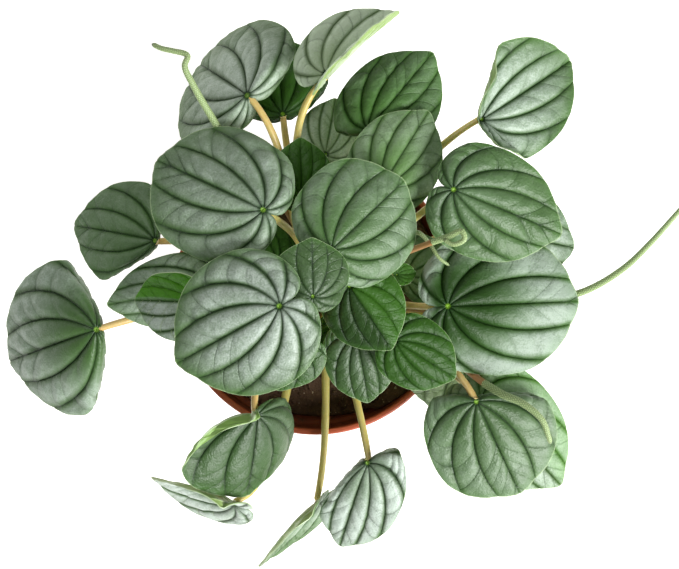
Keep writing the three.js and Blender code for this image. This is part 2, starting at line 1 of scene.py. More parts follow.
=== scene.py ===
"""Looks of a potted peperomia: ribbed silvery leaves on long stalks, five flower spikes, a
terracotta-coloured nursery pot and its soil.

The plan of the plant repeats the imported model's sizes in millimetres; Blender works in metres.
"""

import math

import bpy
import numpy as np
from bpy.props import FloatProperty, FloatVectorProperty, IntProperty, PointerProperty
from mathutils import Matrix, Vector, noise


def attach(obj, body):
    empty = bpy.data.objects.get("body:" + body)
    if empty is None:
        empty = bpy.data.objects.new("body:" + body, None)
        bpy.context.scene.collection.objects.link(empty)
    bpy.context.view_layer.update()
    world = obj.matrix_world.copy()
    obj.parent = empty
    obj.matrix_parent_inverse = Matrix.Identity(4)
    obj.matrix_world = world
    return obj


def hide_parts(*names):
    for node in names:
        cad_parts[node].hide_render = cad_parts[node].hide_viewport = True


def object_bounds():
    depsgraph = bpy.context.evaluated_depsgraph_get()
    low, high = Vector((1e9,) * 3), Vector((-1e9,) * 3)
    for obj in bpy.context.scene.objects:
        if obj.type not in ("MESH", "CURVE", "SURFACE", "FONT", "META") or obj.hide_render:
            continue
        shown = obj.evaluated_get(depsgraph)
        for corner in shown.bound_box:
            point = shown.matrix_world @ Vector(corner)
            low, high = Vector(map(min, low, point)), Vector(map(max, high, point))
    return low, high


bl_info = {
    "name": "Potted Peperomia",
    "version": (1, 0, 0),
    "blender": (4, 5, 0),
    "location": "View3D > Sidebar > Peperomia",
    "description": "Builds the leaves, stalks, spikes, pot and soil of a potted peperomia",
    "category": "Add Mesh",
}

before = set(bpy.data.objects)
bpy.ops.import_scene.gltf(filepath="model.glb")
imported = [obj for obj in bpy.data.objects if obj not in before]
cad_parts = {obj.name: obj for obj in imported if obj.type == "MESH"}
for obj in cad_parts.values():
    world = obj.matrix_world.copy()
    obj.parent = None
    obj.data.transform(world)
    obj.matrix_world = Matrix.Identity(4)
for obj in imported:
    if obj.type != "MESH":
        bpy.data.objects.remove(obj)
CAD_LOW, CAD_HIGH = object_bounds()

MM = 0.001
BODY = "root"

# Plan of the plant in millimetres and degrees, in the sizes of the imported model


class Plan:
    """Named values of a piece, read as attributes."""

    def __init__(self, **values):
        vars(self).update(values)


POT = Plan(
    height=104, rim_radius=60, bead_height=2.4, bead_depth=0.9, edge=0.6,
    collar_height=13, collar_flare=1, collar_step=2.6, shoulder=1, draft=0.7,
    base_radius=42, foot=1.2, wall=1.8, floor=2.4, floor_edge=2,
    holes=6, hole_radius=4, hole_circle=27,
)
SOIL = Plan(
    top=93, middle=2, dip=9, dip_angle=262, dip_width=60,
    heap=7, heap_angle=318, heap_width=45, skirt=1, gap=0.3, ledge_reach=3.5,
)
CROWN = Plan(
    centre=(4, 1), half_width=(17, 13), bottom=76, root_height=17,
    root_spread=0.62, spread_reach=25,
    side=[(0, 0), (0.62, 0), (0.9, 9), (1, 15), (0.86, 21), (0.5, 23), (0, 23)],
)
# seat has the depths under the middle of the blade that the end of a stalk runs through. Only
# this scene has the seat, the flare, the ripple and the ridges.
STALK = Plan(
    root_radius=2.0, joint_radius=1.25, outwards=0.12, arrival=0.35, rings=31,
    seat=(1.3, 0.95, 0.65), flare=0.35, flare_reach=4,
    ripple=0.05, ripple_width=3.1, ripple_shift=1.7, ridge=0.04, ridges=3,
)
FLOWER_STALK = Plan(rings=36, ripple=0.03, ripple_width=2.3)
# How many sides the round pieces have, and each row of flowers for each of its flowers.
SIDES = Plan(pot=144, hole=32, soil=200, stem=72, stalk=14, flower_stalk=12, bead=6)
BLADE_THICKNESS = 0.8
STALK_CLEARANCE = 0.4

# The flat outline of a leaf: degrees from the tip, and the distance to the edge as a share of
# the length.
OUTLINE = [
    (0, 1), (10, 0.92), (22, 0.87), (38, 0.815), (60, 0.7), (85, 0.57),
    (110, 0.43), (135, 0.325), (158, 0.25), (172, 0.17), (180, 0.1),
]
OUTLINE_WIDTH = 1.21
FULL_REACH = 80
# Where the main veins start at the midrib's side, and how far they swing forwards on their way.
VEIN_ANGLES = (0, 42, 78, 112, 146, 180)
VEIN_SWEEP = 44
SECTORS = len(VEIN_ANGLES) - 1
BEND_REACH = 0.8
BEND_FIRST = 0.3
FOLD = Plan(radius=0.02, turn=60, back_share=90)
TIP_ROUNDING = 2.5
FULL_TIP_ROUNDING = 20

LEAF_DEFAULTS = {
    "full": 0, "lobe": 1, "sinus": 0.1, "lean": 49, "side": 0, "rise": 0.45,
    "bow": (0, 0, 0), "curl": 0.06, "crease": 0, "left": None, "right": None,
}


def leaf_plan(at, aim, size, bend, **more):
    """A leaf: where its stalk meets it; its heading, pitch and roll; its length and width; its
    bend at the tip, left, back and right; and what differs from LEAF_DEFAULTS.
    """
    return Plan(at=at, aim=aim, size=size, bend=bend, **{**LEAF_DEFAULTS, **more})


# The thirty-third blade is smaller than in the model, where too much of its tip shows.
LEAVES = [
    leaf_plan((-19, 32, 183), (153, -3, 6), (52, 54), (-22, -22, -80, -45), full=0.08, lobe=0.6),
    leaf_plan((7, 17, 179), (43, -3, 4), (43, 50), (-18, -22, -60, -50), full=0.07, lobe=0.7,
              side=45),
    leaf_plan((-12.5, -4.5, 192), (209, -4, 0), (49, 56), (-18, -25, -20, -20), side=-70,
              bow=(1, -4, 0)),
    leaf_plan((-87.5, -14.5, 144), (199, -16, 0), (61, 68), (-36, -33, -40, -30), left=(52, 94),
              right=(70, 94), lean=75, rise=0.22, bow=(0, 0, -3)),
    leaf_plan((-63, 21, 154), (167, -8, 6), (41, 45), (-28, -45, -30, -12), left=(43, 85),
              right=(64, 90), lean=75, rise=0.2, bow=(4, 9, -4)),
    leaf_plan((-40.5, 3, 152), (190, 3, 0), (45, 31), (-18, -70, -20, -20)),
    leaf_plan((-43.5, -3.5, 166), (178, -10, 0), (29, 31), (-10, -5, -20, -5), right=(6, -50),
              curl=0.3, lean=70, rise=0.75),
    leaf_plan((-26, 77.5, 165), (142, -38, 0), (50, 62), (-25, -22, -30, -10), left=(64, 85),
              right=(86, 95), lean=60, rise=0.3, bow=(-8, 0, 0)),
    leaf_plan((-12.5, 71.5, 150), (95, -12, 0), (38, 40), (-20, -20, -30, -20), left=(70, 75),
              right=(52, 75), lean=75),
    leaf_plan((5, 85, 170), (43, -8, -6), (42, 38), (-15, -45, -20, 0), right=(-4, -85), lean=75,
              rise=0.3),
    leaf_plan((21.5, 64.5, 156), (51, -3, 0), (43.5, 39), (-15, -40, -60, -25), left=(125, 70),
              right=(120, 70), lean=60),
    leaf_plan((26.5, 42, 163), (58, 0, 0), (37.5, 37), (-18, -20, -20, -45)),
    leaf_plan((4.5, 56, 140), (80, 5, 0), (24, 25), (-15, -15, -15, -15)),
    leaf_plan((-4.5, 38, 160), (92, 10, 0), (24, 25), (-15, -15, -15, -15)),
    leaf_plan((67, 70, 142), (31, -8, 12), (51, 47), (-20, 30, 0, 10), left=(46, -66),
              right=(66, -66), curl=0.12, lean=75),
    leaf_plan((54.5, 40.5, 167), (-21, -6, 0), (51, 45), (-18, -22, -50, -30), lobe=0.6, side=60,
              rise=0.62),
    leaf_plan((72, 25, 138), (-10, -10, 0), (40, 42), (-20, -20, -20, -20), rise=0.25),
    leaf_plan((53, -5, 154.5), (2, -5, 0), (60, 57), (-18, -30, -50, -35), full=0.07, lobe=0.75,
              sinus=0.09, lean=75),
    leaf_plan((64.5, -43, 152), (-64, -8, 0), (48, 52), (-18, -25, -60, -25), full=0.07,
              left=(60, 75), right=(114, 75), lean=70, rise=0.25),
    leaf_plan((67.5, -43, 138), (-47, -6, 0), (52, 44), (-12, -15, -20, -20), rise=0.5),
    leaf_plan((58.5, -24, 124), (-105, -20, 0), (32, 42), (-15, -15, -20, -15)),
    leaf_plan((32, -18.5, 160), (-32, -5, 0), (31, 29), (-20, -20, -20, -20), lobe=0.6,
              bow=(4, 8, 0)),
    leaf_plan((14, 3, 167), (-57, 0, 2), (31, 34), (-12, -35, -60, -50)),
    leaf_plan((17, -17, 148), (-80, -5, 0), (30, 30), (-20, -20, -20, -20)),
    leaf_plan((0, -1, 184.5), (91, 12, 2), (23, 32), (-10, -15, -20, -60), lobe=1.25),
    leaf_plan((-23, -49, 144), (268, -12, -24), (40, 61), (-20, -72, -60, 0), full=0.07, lobe=0.4,
              right=(50, -160), curl=0.03, crease=8.5, lean=65),
    leaf_plan((-33.5, -87, 123), (157, -10, -50), (37, 44), (10, -20, -30, 80), rise=0.2,
              bow=(-9, 0, -3)),
    leaf_plan((1.5, -88, 106), (221, -15, -64), (40, 42), (10, -10, -30, 60), lobe=0.8, rise=0.3),
    leaf_plan((21.5, -68.5, 138), (250, -20, 12), (47, 38), (-18, -15, -30, -20), left=(122, 70),
              right=(18, 80), lean=60, side=41),
    leaf_plan((37, 7, 134), (30, -10, 0), (24, 30), (-20, -20, -20, -20), lobe=0.6),
    leaf_plan((33, 7.5, 148), (5, 10, 0), (8, 9), (-10, 20, 10, 20)),
    leaf_plan((-15, 12, 146), (135, -5, 0), (28, 24), (-20, -20, -20, -20), lobe=0.7),
    leaf_plan((-11, -18.5, 160), (262, -5, 0), (22, 34), (-20, -20, -20, -20), lobe=0.5),
    leaf_plan((8, -13, 139.5), (-90, -5, 0), (20, 16), (-20, -20, -20, -20)),
]

SPIKES = [
    Plan(radius=1.5, stalk=[(-4, 8, 92), (-8, 28, 126), (-18, 44, 140)],
         spike=[(-18, 44, 140), (-29, 55, 150), (-36, 63, 159.5), (-41, 71, 168), (-46, 80, 177),
          (-49, 87, 181), (-48, 91, 181), (-54, 93, 180), (-58, 94, 179), (-62, 96, 177)]),
    Plan(radius=1.5, stalk=[(14, 0, 97), (36, -6, 114), (64, -7, 120)],
         spike=[(64, -7, 120), (91, -4, 126), (110, 1, 134), (124, 10, 144), (134, 21, 155),
          (143, 32, 161), (150, 40, 164)]),
    Plan(radius=1.5, stalk=[(12, -6, 92), (30, -16, 118), (56, -27, 135), (68, -36, 147)],
         spike=[(68, -36, 147), (75, -40, 157), (82, -43, 162), (89, -49, 164), (92, -56, 162),
          (93, -59, 160)]),
    Plan(radius=1.2,
         stalk=[(12, 6, 92), (22, 11, 130), (30, 14, 149), (38, 17, 160), (46, 20, 170)],
         spike=[(46, 20, 170), (52, 22, 174), (57, 24, 177), (58, 21, 177), (54, 19, 176),
          (50, 21, 175)]),
    Plan(radius=0.9, stalk=[(13, 8, 92), (22, 15, 134), (33, 23, 150)],
         spike=[(33, 23, 150), (41, 24, 160), (45, 20, 163), (49, 14, 165), (53, 11, 164)]),
]

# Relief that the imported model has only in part

# Puffs between the veins: height and edge height as shares of the length, the share of the
# outline that gives them room, and the powers and depths that shape them.
QUILT = Plan(
    height=0.028, edge=0.3, room=0.45, along=0.8, groove=0.4,
    round=2.6, soften=0.85, sink=0.75, narrow=1.6,
)
# Where side veins leave the main vein at the start of each sector between two main veins.
SIDE_VEINS = (
    (0.4, 0.58, 0.74, 0.88), (0.28, 0.46, 0.62, 0.78), (0.34, 0.54, 0.74),
    (0.42, 0.62, 0.8), (0.55, 0.8),
)
MOST_SIDE_VEINS = 6
SIDE_VEIN = Plan(
    slant=0.3, stray=0.045, depth=0.65, uneven=0.35, start=0.1, reach=0.5, fade=0.35)
# Dents and wider swells in millimetres, and where on the way to the margin they set in.
PUCKERS = Plan(
    dent=0.32, dent_width=2.6, swell=0.5, swell_width=7, start=0.15, reach=0.6, length=50)
DIMPLE_WIDTH = 2.6
# How far the mesh columns crowd towards the main veins.
CROWDING = 0.6
ROWS = Plan(fewest=0.4, length=45)
THINNING = Plan(start=0.82, reach=0.18, curve=1.5)
LEAF_SEED = 100
BEADS = Plan(
    row=0.85, steps=5, turns=9, thin_turns=6, thin=1, base=0.94,
    height=0.16, sharp=0.6, taper=0.4, tip=0.15,
)
GROUND = Plan(rings=46, rough=0.9, width=5.0, fine_rough=0.45, fine_width=1.6, calm=0.04)
CRUMBS = Plan(
    shapes=6, dent=(-0.3, 0.25), flat=0.7, turn=6.28, tilt=0.6,
    stretch=(0.8, 1.7), raised=0.25, bare=(18, 14), bare_share=1.1,
)
CRUMB_DRAW = {"seed": 11, "small": 0.35, "large": 1.9}
PERLITE_DRAW = {"seed": 29, "small": 0.3, "large": 1.0}
CRUMBS_PER_PERLITE = 12

# Colouring

# The coordinates of the veins are divided by this to lie between 0 and 1 in the UV maps.
UV_RANGE = 2 * SECTORS
# About how far a sector turns, in radians, and how fast a lit half sets in at the midrib.
SECTOR_TURN = 0.62
LIT_RAMP = 3
# A leaf that is fresher than this has the green upper side.
GREEN_FROM = 0.6
# Heights over the base and radii, in metres, between which the pot's colours change.
POT_TINTS = Plan(rim=(0.1025, 0.1038), inner=(0.0565, 0.0578), dark_heights=(0.06, 0.07))
# The leaves of the fresh green kind.
GREEN_LEAVES = (6, 7, 9, 11, 13, 14, 17, 20, 22, 23, 33, 34)


def colouring(silver=0, fresh=0, outer=0, dark=0, light_wash=0, pale=0, lit=0):
    """How silvery and how fresh green a leaf is, whether its silver lies outwards (1) or near
    the joint (0), how dark the whole is, how strong a pale wash lies over it, how pale its veins
    are, and how bright a green one half is, above 0 for the left and below 0 for the right. The
    silver is the leaf's own and in part painted sheen and light; the darkening is the leaf's own
    deep green and in part painted shade on leaves under others; the pale wash is in part the
    leaf's own paler tone and in part painted light.
    """
    return Plan(silver=silver, fresh=fresh, outer=outer, dark=dark, light_wash=light_wash, pale=pale, lit=lit)


COLOURINGS = [
    colouring(0.62, outer=0.35), colouring(0.34, 0.4, outer=0.85, dark=0.2),
    colouring(0.84, dark=0.12), colouring(0.7, 0.4, outer=1, dark=0.22),
    colouring(0.35, 0.4, outer=0.6), colouring(0.75, 0.2, outer=0.5),
    colouring(1.1, outer=0.5, pale=1, lit=-1, dark=0.08), colouring(0.72, light_wash=0.05),
    colouring(0, 1, dark=0.5), colouring(1.9, outer=0.6, pale=0.2, light_wash=0.5),
    colouring(0.3, 0.65, outer=0.7), colouring(0.34, 0.62, outer=1, light_wash=0.08),
    colouring(1.3, 0.3, outer=0.5, pale=0.15, light_wash=0.15), colouring(0, 1, dark=0.3),
    colouring(0.8, 0.2), colouring(0.3, 0.4, outer=0.3, dark=0.25), colouring(1, 0.35, outer=0.5),
    colouring(1.6, 0.9, outer=1, dark=0.75), colouring(0.3, 0.32, outer=0.9, dark=0.38),
    colouring(1.3, 0.3, outer=0.5, light_wash=0.1, lit=0.45), colouring(1.5, 0.1, light_wash=0.5),
    colouring(0, 1, dark=0.55), colouring(0.12, 0.6, dark=0.75, lit=0.22),
    colouring(0.34, 0.4, dark=0.5), colouring(0.15, 0.2, dark=0.5),
    colouring(0.3, 0.6, outer=0.3, dark=0.6), colouring(1.2, outer=0.5, pale=0.6),
    colouring(0.45, 0.1), colouring(1.6, outer=0.7), colouring(0.6, 0.3), colouring(0.3, 0.9),
    colouring(0.05, 0.8, dark=0.4), colouring(0.15, 0.6, dark=0.4), colouring(0, 1, dark=0.4),
]

# How tan each leaf's stalk is, from yellow-green (0) to pinkish tan (1), where it isn't halfway.
STALK_TANS = {
    1: 0.0, 4: 0.9, 5: 0.8, 8: 0.7, 9: 0.5, 10: 0.2, 12: 0.2, 15: 0.35, 16: 0.0, 17: 0.5,
    18: 0.7, 19: 0.8, 26: 1.0, 27: 0.2, 28: 0.15, 29: 0.2,
}

# Stage, in metres and watts

LIGHTS = (("window", (1.1, -1.0, 1.1), 0.85, 60), ("fill", (-0.7, 0.8, 1.5), 1.1, 12))
SKY_STRENGTH = 0.13
FLOOR = Plan(size=6, below=0.0003, glow=0.7)
CAMERA = Plan(x=0.0101, y=0.0036, sensor=36, lens=100.4, sight=20)


def colour_setting(name, description, *rgb):
    return FloatVectorProperty(
        name=name, description=description, subtype="COLOR", default=rgb)


def length_setting(name, description, millimetres):
    return FloatProperty(
        name=name, description=description, unit="LENGTH", default=millimetres * MM)


class PeperomiaSettings(bpy.types.PropertyGroup):
    """Sizes and colours of the plant, its pot and its soil."""

    around: IntProperty(
        name="Ribs per vein", description="Mesh columns between two main veins", default=13, min=4)
    outwards: IntProperty(
        name="Rings per leaf", description="Mesh rows from joint to edge", default=38, min=6)
    thickness: length_setting("Blade thickness", "Thickness of a blade at its middle", 0.7)
    edge_share: FloatProperty(
        name="Edge thickness", description="Share of the thickness left at the margin",
        subtype="FACTOR", default=0.55, min=0.1, max=1)
    dimple: length_setting("Joint dimple", "Depth of the hollow over the stalk", 0.5)
    # The silver crests are the leaf's own silver and in part painted sheen and light.
    silver: colour_setting("Silver", "Crests of the puffs", 0.46, 0.54, 0.47)
    sage: colour_setting("Sage", "Blade between veins", 0.082, 0.155, 0.050)
    # Deep green also serves as painted shade in the grooves, by the veins and on shaded leaves.
    deep: colour_setting("Deep green", "Blade beside the veins", 0.010, 0.038, 0.006)
    vein: colour_setting("Vein", "Sunken veins", 0.004, 0.018, 0.003)
    fresh: colour_setting("Fresh green", "Young leaves", 0.046, 0.152, 0.010)
    bright: colour_setting("Bright green", "Half leaves that light shines through",
                           0.075, 0.28, 0.005)
    underside: colour_setting("Underside", "Lower face of a blade", 0.25, 0.38, 0.095)
    # The light margin is the leaf's own pale edge and in part painted light.
    margin: colour_setting("Margin", "Thin light edge of a blade", 0.40, 0.52, 0.28)
    joint: colour_setting("Joint", "Spot over the stalk", 0.15, 0.30, 0.02)
    stalk_low: colour_setting("Stalk, low", "Stalk near the soil", 0.48, 0.45, 0.075)
    stalk_high: colour_setting("Stalk, high", "Stalk near the leaf", 0.56, 0.36, 0.10)
    spike_colour: colour_setting("Spike", "Flowers of the spike", 0.36, 0.50, 0.22)
    pot_colour: colour_setting("Pot", "Plastic of the pot", 0.29, 0.050, 0.020)
    soil_colour: colour_setting("Soil", "Damp potting soil", 0.035, 0.02, 0.012)
    perlite_colour: colour_setting("Perlite", "Light grains in the soil", 0.55, 0.48, 0.38)
    grains: IntProperty(
        name="Grains", description="Loose crumbs on the soil", default=900, min=0)
    camera_height: length_setting("Camera height", "Camera over the rim", 800)


def settings():
    return bpy.context.scene.peperomia


# Shader maths

MIX_FACTOR, MIX_A, MIX_B, MIX_RESULT = 0, 6, 7, 2


def scaled(colour, factor):
    return tuple(factor * c for c in colour)


class Value:
    """A shader socket that can be used in a formula."""

    def __init__(self, shader, socket):
        self.shader = shader
        self.socket = socket

    def _math(self, operation, *values):
        return self.shader.add(
            "ShaderNodeMath", {"operation": operation}, dict(enumerate(values)))

    def __add__(self, other):
        return self._math("ADD", self, other)

    __radd__ = __add__

    def __sub__(self, other):
        return self._math("SUBTRACT", self, other)

    def __rsub__(self, other):
        return self._math("SUBTRACT", other, self)

    def __mul__(self, other):
        return self._math("MULTIPLY", self, other)

    __rmul__ = __mul__

    def __abs__(self):
        return self._math("ABSOLUTE", self)

    def rounded(self):
        return self._math("ROUND", self)

    def root(self):
        return self._math("SQRT", self)

    def at_most(self, other):
        return self._math("MINIMUM", self, other)


class Shader:
    """A node material built from formulas."""

    def __init__(self, name, **constants):
        self.material = bpy.data.materials.new(name)
        self.material.use_nodes = True
        self.tree = self.material.node_tree
        self.surface = self.tree.nodes["Principled BSDF"]
        for socket, value in constants.items():
            self.surface.inputs[socket.replace("_", " ")].default_value = value

    def node(self, kind, options=None, inputs=None):
        node = self.tree.nodes.new(kind)
        for name, value in (options or {}).items():
            setattr(node, name, value)
        for key, value in (inputs or {}).items():
            self.connect(value, node.inputs[key])
        return node

    def connect(self, value, socket):
        if isinstance(value, Value):
            self.tree.links.new(value.socket, socket)
        elif socket.type == "RGBA":
            socket.default_value = (*value, 1)
        else:
            socket.default_value = value

    def add(self, kind, options=None, inputs=None, output=0):
        return Value(self, self.node(kind, options, inputs).outputs[output])

    def mix(self, factor, a, b):
        options = {"data_type": "RGBA", "clamp_factor": True}
        inputs = {MIX_FACTOR: factor, MIX_A: a, MIX_B: b}
        return self.add("ShaderNodeMix", options, inputs, MIX_RESULT)

    def step(self, value, low, high):
        """Runs smoothly from 0 at low to 1 at high."""
        options = {"interpolation_type": "SMOOTHSTEP"}
        inputs = {"Value": value, "From Min": low, "From Max": high}
        return self.add("ShaderNodeMapRange", options, inputs)

    def split(self, vector):
        node = self.node("ShaderNodeSeparateXYZ", {}, {0: vector})
        return [Value(self, output) for output in node.outputs]

    def uv(self, name):
        return self.split(self.add("ShaderNodeUVMap", {"uv_map": name}))[:2]

    def attribute(self, name):
        return self.add("ShaderNodeAttribute", {"attribute_name": name}, {}, "Fac")

    def place(self):
        return self.add("ShaderNodeTexCoord", {}, {}, "Object")

    def noise(self, scale, detail=2, roughness=0.5):
        inputs = {"Vector": self.place(), "Scale": scale, "Detail": detail, "Roughness": roughness}
        return self.add("ShaderNodeTexNoise", {}, inputs)

    def cells(self, scale):
        return self.add("ShaderNodeTexVoronoi", {}, {"Vector": self.place(), "Scale": scale})

    def bump(self, height, distance, strength):
        inputs = {"Height": height, "Distance": distance, "Strength": strength}
        self.set("Normal", self.add("ShaderNodeBump", {}, inputs))

    def set(self, name, value):
        self.connect(value, self.surface.inputs[name])

    def paint(self, colour, *layers):
        """Lays colours over each other, each with its mask, and gives them to the surface."""
        for mask, over in layers:
            colour = self.mix(mask, colour, over)
        self.set("Base Color", colour)


def mottled_material(name, roughness, grain, low, high, relief=0, strength=0):
    """One colour that runs into another with a noise, which may also roughen the surface."""
    shader = Shader(name, Roughness=roughness)
    tint = shader.noise(*grain)
    shader.paint(low, (tint, high))
    if relief:
        shader.bump(tint, relief * MM, strength)
    return shader.material


# Meshes made from a grid


def deselect():
    if bpy.context.object and bpy.context.object.mode != "OBJECT":
        bpy.ops.object.mode_set(mode="OBJECT")
    bpy.ops.object.select_all(action="DESELECT")


def added(add, **options):
    """Runs an operator that adds an object, with nothing else selected; returns the object."""
    deselect()
    add(**options)
    return bpy.context.object


def choose(piece):
    deselect()
    piece.select_set(True)
    bpy.context.view_layer.objects.active = piece


def vertex_places(piece):
    flat = np.zeros(len(piece.data.vertices) * 3, np.float32)
    piece.data.vertices.foreach_get("co", flat)
    return flat.reshape(-1, 3)


def add_grid(name, columns, rows):
    """Adds a grid; returns it with each vertex's place in it, from 0 to 1 both ways."""
    piece = added(
        bpy.ops.mesh.primitive_grid_add, x_subdivisions=columns, y_subdivisions=rows, size=1)
    piece.name = name
    piece.data.name = name
    flat = vertex_places(piece).astype(float) + 0.5
    return piece, flat[:, 0], flat[:, 1]


def nearest_ring(share, rings):
    return np.rint(share * rings).astype(int)


def lay_grid(piece, points, closed_ends=False):
    """Moves the grid's vertices to points in millimetres and merges what meets."""
    piece.data.vertices.foreach_set("co", (points * MM).astype(np.float32).ravel())
    piece.data.update()
    bpy.ops.object.mode_set(mode="EDIT")
    bpy.ops.mesh.select_all(action="SELECT")
    bpy.ops.mesh.remove_doubles(threshold=0.01 * MM)
    if closed_ends:
        bpy.ops.mesh.fill_holes(sides=0)
        bpy.ops.mesh.normals_make_consistent(inside=False)
    bpy.ops.object.mode_set(mode="OBJECT")


def finish_piece(piece, material, slot, *nodes, sharp=50):
    """Gives a piece its material, shading and place in the frame."""
    if material is not None:
        piece.data.materials.clear()
        piece.data.materials.append(material)
    choose(piece)
    bpy.ops.object.shade_smooth_by_angle(angle=math.radians(sharp))
    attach(piece, BODY)
    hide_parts(*nodes)
    return piece


def float_attribute(piece, name, values):
    """Writes one value, or one for each vertex, where a material can read it."""
    layer = piece.data.attributes.new(name, "FLOAT", "POINT")
    layer.data.foreach_set("value", np.full(len(piece.data.vertices), values, np.float32))


def apply_modifiers(piece):
    choose(piece)
    for modifier in list(piece.modifiers):
        bpy.ops.object.modifier_apply(modifier=modifier.name)


# Leaf blades


def read_curve(points, x):
    """A curve through (x, y) points with rounded corners."""
    xs = np.array([p[0] for p in points], float)
    ys = np.array([p[1] for p in points], float)
    slope = np.empty_like(ys)
    slope[1:-1] = (ys[2:] - ys[:-2]) / (xs[2:] - xs[:-2])
    slope[0] = (ys[1] - ys[0]) / (xs[1] - xs[0])
    slope[-1] = (ys[-1] - ys[-2]) / (xs[-1] - xs[-2])
    i = np.clip(np.searchsorted(xs, x, side="right") - 1, 0, len(xs) - 2)
    span = xs[i + 1] - xs[i]
    t = (x - xs[i]) / span
    return ((2 * t**3 - 3 * t**2 + 1) * ys[i] + (t**3 - 2 * t**2 + t) * span * slope[i]
            + (3 * t**2 - 2 * t**3) * ys[i + 1] + (t**3 - t**2) * span * slope[i + 1])


def outline_share(leaf, angle):
    """Distance from the joint to the edge as a share of the length, by degrees from the tip."""
    forward = np.cos(np.radians(angle))
    shortened = 1 - (1 - leaf.lobe) * np.maximum(-forward, 0)
    fuller = 1 + leaf.full * np.sin(np.pi * np.minimum(angle / FULL_REACH, 1)) ** 2
    notch = [*OUTLINE[:-1], (180, leaf.sinus)]
    blunt = TIP_ROUNDING * (1 + FULL_TIP_ROUNDING * leaf.full)
    rounded = np.hypot(angle, blunt * np.maximum(forward, 0))
    return read_curve(notch, rounded) * shortened * fuller


def dome(leaf, angle, distance):
    """How far out, how high and how steep the smooth blade is at a distance from its joint."""
    tip, left, back, right = leaf.bend
    c, s = np.cos(angle), np.sin(angle)
    bend = np.radians((tip * np.maximum(c, 0) + back * np.maximum(-c, 0)
                       + left * np.maximum(s, 0) + right * np.maximum(-s, 0))
                      / (np.abs(c) + np.abs(s)))
    start = bend * BEND_FIRST
    rate = bend * (1 - BEND_FIRST) / (BEND_REACH * leaf.size[0])
    slope = start + rate * distance
    straight = np.abs(rate) < 1e-9
    safe = np.where(straight, 1, rate)
    run = np.where(straight, distance * np.cos(start), (np.sin(slope) - np.sin(start)) / safe)
    rise = np.where(straight, distance * np.sin(start), (np.cos(start) - np.cos(slope)) / safe)
    return run, rise, slope


def fold(leaf, points, side):
    """Turns what lies behind a line through the joint round a cone that widens along it."""
    line, turn = leaf.left if side > 0 else leaf.right
    length = leaf.size[0]
    x, y, z = points.T
    slant, full, sign = math.radians(line), math.radians(abs(turn)), math.copysign(1, turn)
    direction = (math.cos(slant), side * math.sin(slant))
    backwards = (-math.sin(slant), side * math.cos(slant))
    reach = np.hypot(x, y)
    beyond = np.arctan2(side * y, x) - slant
    beyond = np.where(beyond < -np.pi, beyond + 2 * np.pi, beyond)
    on_side = beyond > 0
    if leaf.left and leaf.right:
        beyond = beyond * min(1, FOLD.back_share / (180 - line))
    along = reach * np.cos(beyond)
    ahead = np.maximum(along, 0)
    bowed = leaf.crease * np.sin(np.pi * np.minimum(ahead / length, 1))
    behind = reach * np.sin(beyond) - bowed
    on_line = dome(leaf, side * slant, ahead)[1]
    above = z - on_line
    radius = FOLD.radius * length * abs(turn) / FOLD.turn + leaf.curl * ahead
    turned = np.minimum(behind / radius, full)
    rest = np.maximum(0, behind - radius * full)
    out = (bowed + radius * np.sin(turned) + rest * math.cos(full)
           + above * sign * np.sin(turned))
    down = radius * (1 - np.cos(turned)) + rest * math.sin(full)
    turned_points = np.stack([
        along * direction[0] + out * backwards[0],
        along * direction[1] + out * backwards[1],
        on_line + above * np.cos(turned) - sign * down,
    ], -1)
    return np.where((on_side & (behind > 0))[:, None], turned_points, points)


def rib_angle(sector):
    """The angle from the midrib of a vein coordinate: 0 on the midrib, 1 on the next vein."""
    return np.interp(sector, range(len(VEIN_ANGLES)), VEIN_ANGLES)


def side_cells(sector, across, t, jitter):
    """A coordinate that is whole on each side vein of a sector, and how deep that vein is."""
    v = SIDE_VEIN
    starts = np.array(SIDE_VEINS[sector])
    count = len(starts)
    uneven = np.concatenate([[0], jitter[sector][::-1][:count], [0]])
    strength = v.depth - v.uneven * uneven
    starts = starts + v.stray * jitter[sector][:count]
    q = t - v.slant * across
    half = (starts[-1] - starts[0]) / (count - 1) / 2
    knots = np.concatenate([[starts[0] - half], starts, [starts[-1] + half]])
    cells = np.interp(q, knots, np.concatenate([[0.5], np.arange(1, count + 1), [count + 0.5]]))
    depth = np.clip((q - v.start) / v.reach, 0, 1) * (1 - v.fade * across)
    return cells, depth * strength[np.clip(np.rint(cells).astype(int), 0, count + 1)]


def quilting(sector, t, share, jitter):
    """Height of the puffs over the smooth blade as a share of the length, and how full a puff."""
    index = np.minimum(np.floor(sector).astype(int), SECTORS - 1)
    across = sector - index
    broad = (1 - np.abs(2 * across - 1) ** QUILT.round) ** QUILT.soften
    along = np.maximum(np.sin(np.pi * t ** QUILT.along), 0) ** QUILT.along
    room = np.minimum(1, share / QUILT.room)
    side = np.zeros_like(t)
    for k in range(SECTORS):
        mine = index == k
        cells, depth = side_cells(k, across[mine], t[mine], jitter)
        near = (0.5 + 0.5 * np.cos(2 * np.pi * cells)) ** QUILT.narrow
        side[mine] = 1 - QUILT.sink * depth * near
    puff = broad * side
    sunk = (1 + QUILT.groove) * puff - QUILT.groove
    height = QUILT.height * room * sunk * (along + QUILT.edge * t**3)
    return height, puff


def puckers(leaf, x, y, t):
    """Small uneven dents between the side veins, in millimetres, deeper towards the margin."""
    start = Vector(leaf.at)
    small, wide = PUCKERS.dent_width, PUCKERS.swell_width
    dents = [noise.noise(start + Vector((a / small, b / small, 0))) for a, b in zip(x, y)]
    swells = [noise.noise(start - Vector((a / wide, b / wide, 0))) for a, b in zip(x, y)]
    both = PUCKERS.dent * np.array(dents) + PUCKERS.swell * np.array(swells)
    depth = np.clip((t - PUCKERS.start) / PUCKERS.reach, 0, 1)
    return both * depth * (leaf.size[0] / PUCKERS.length)


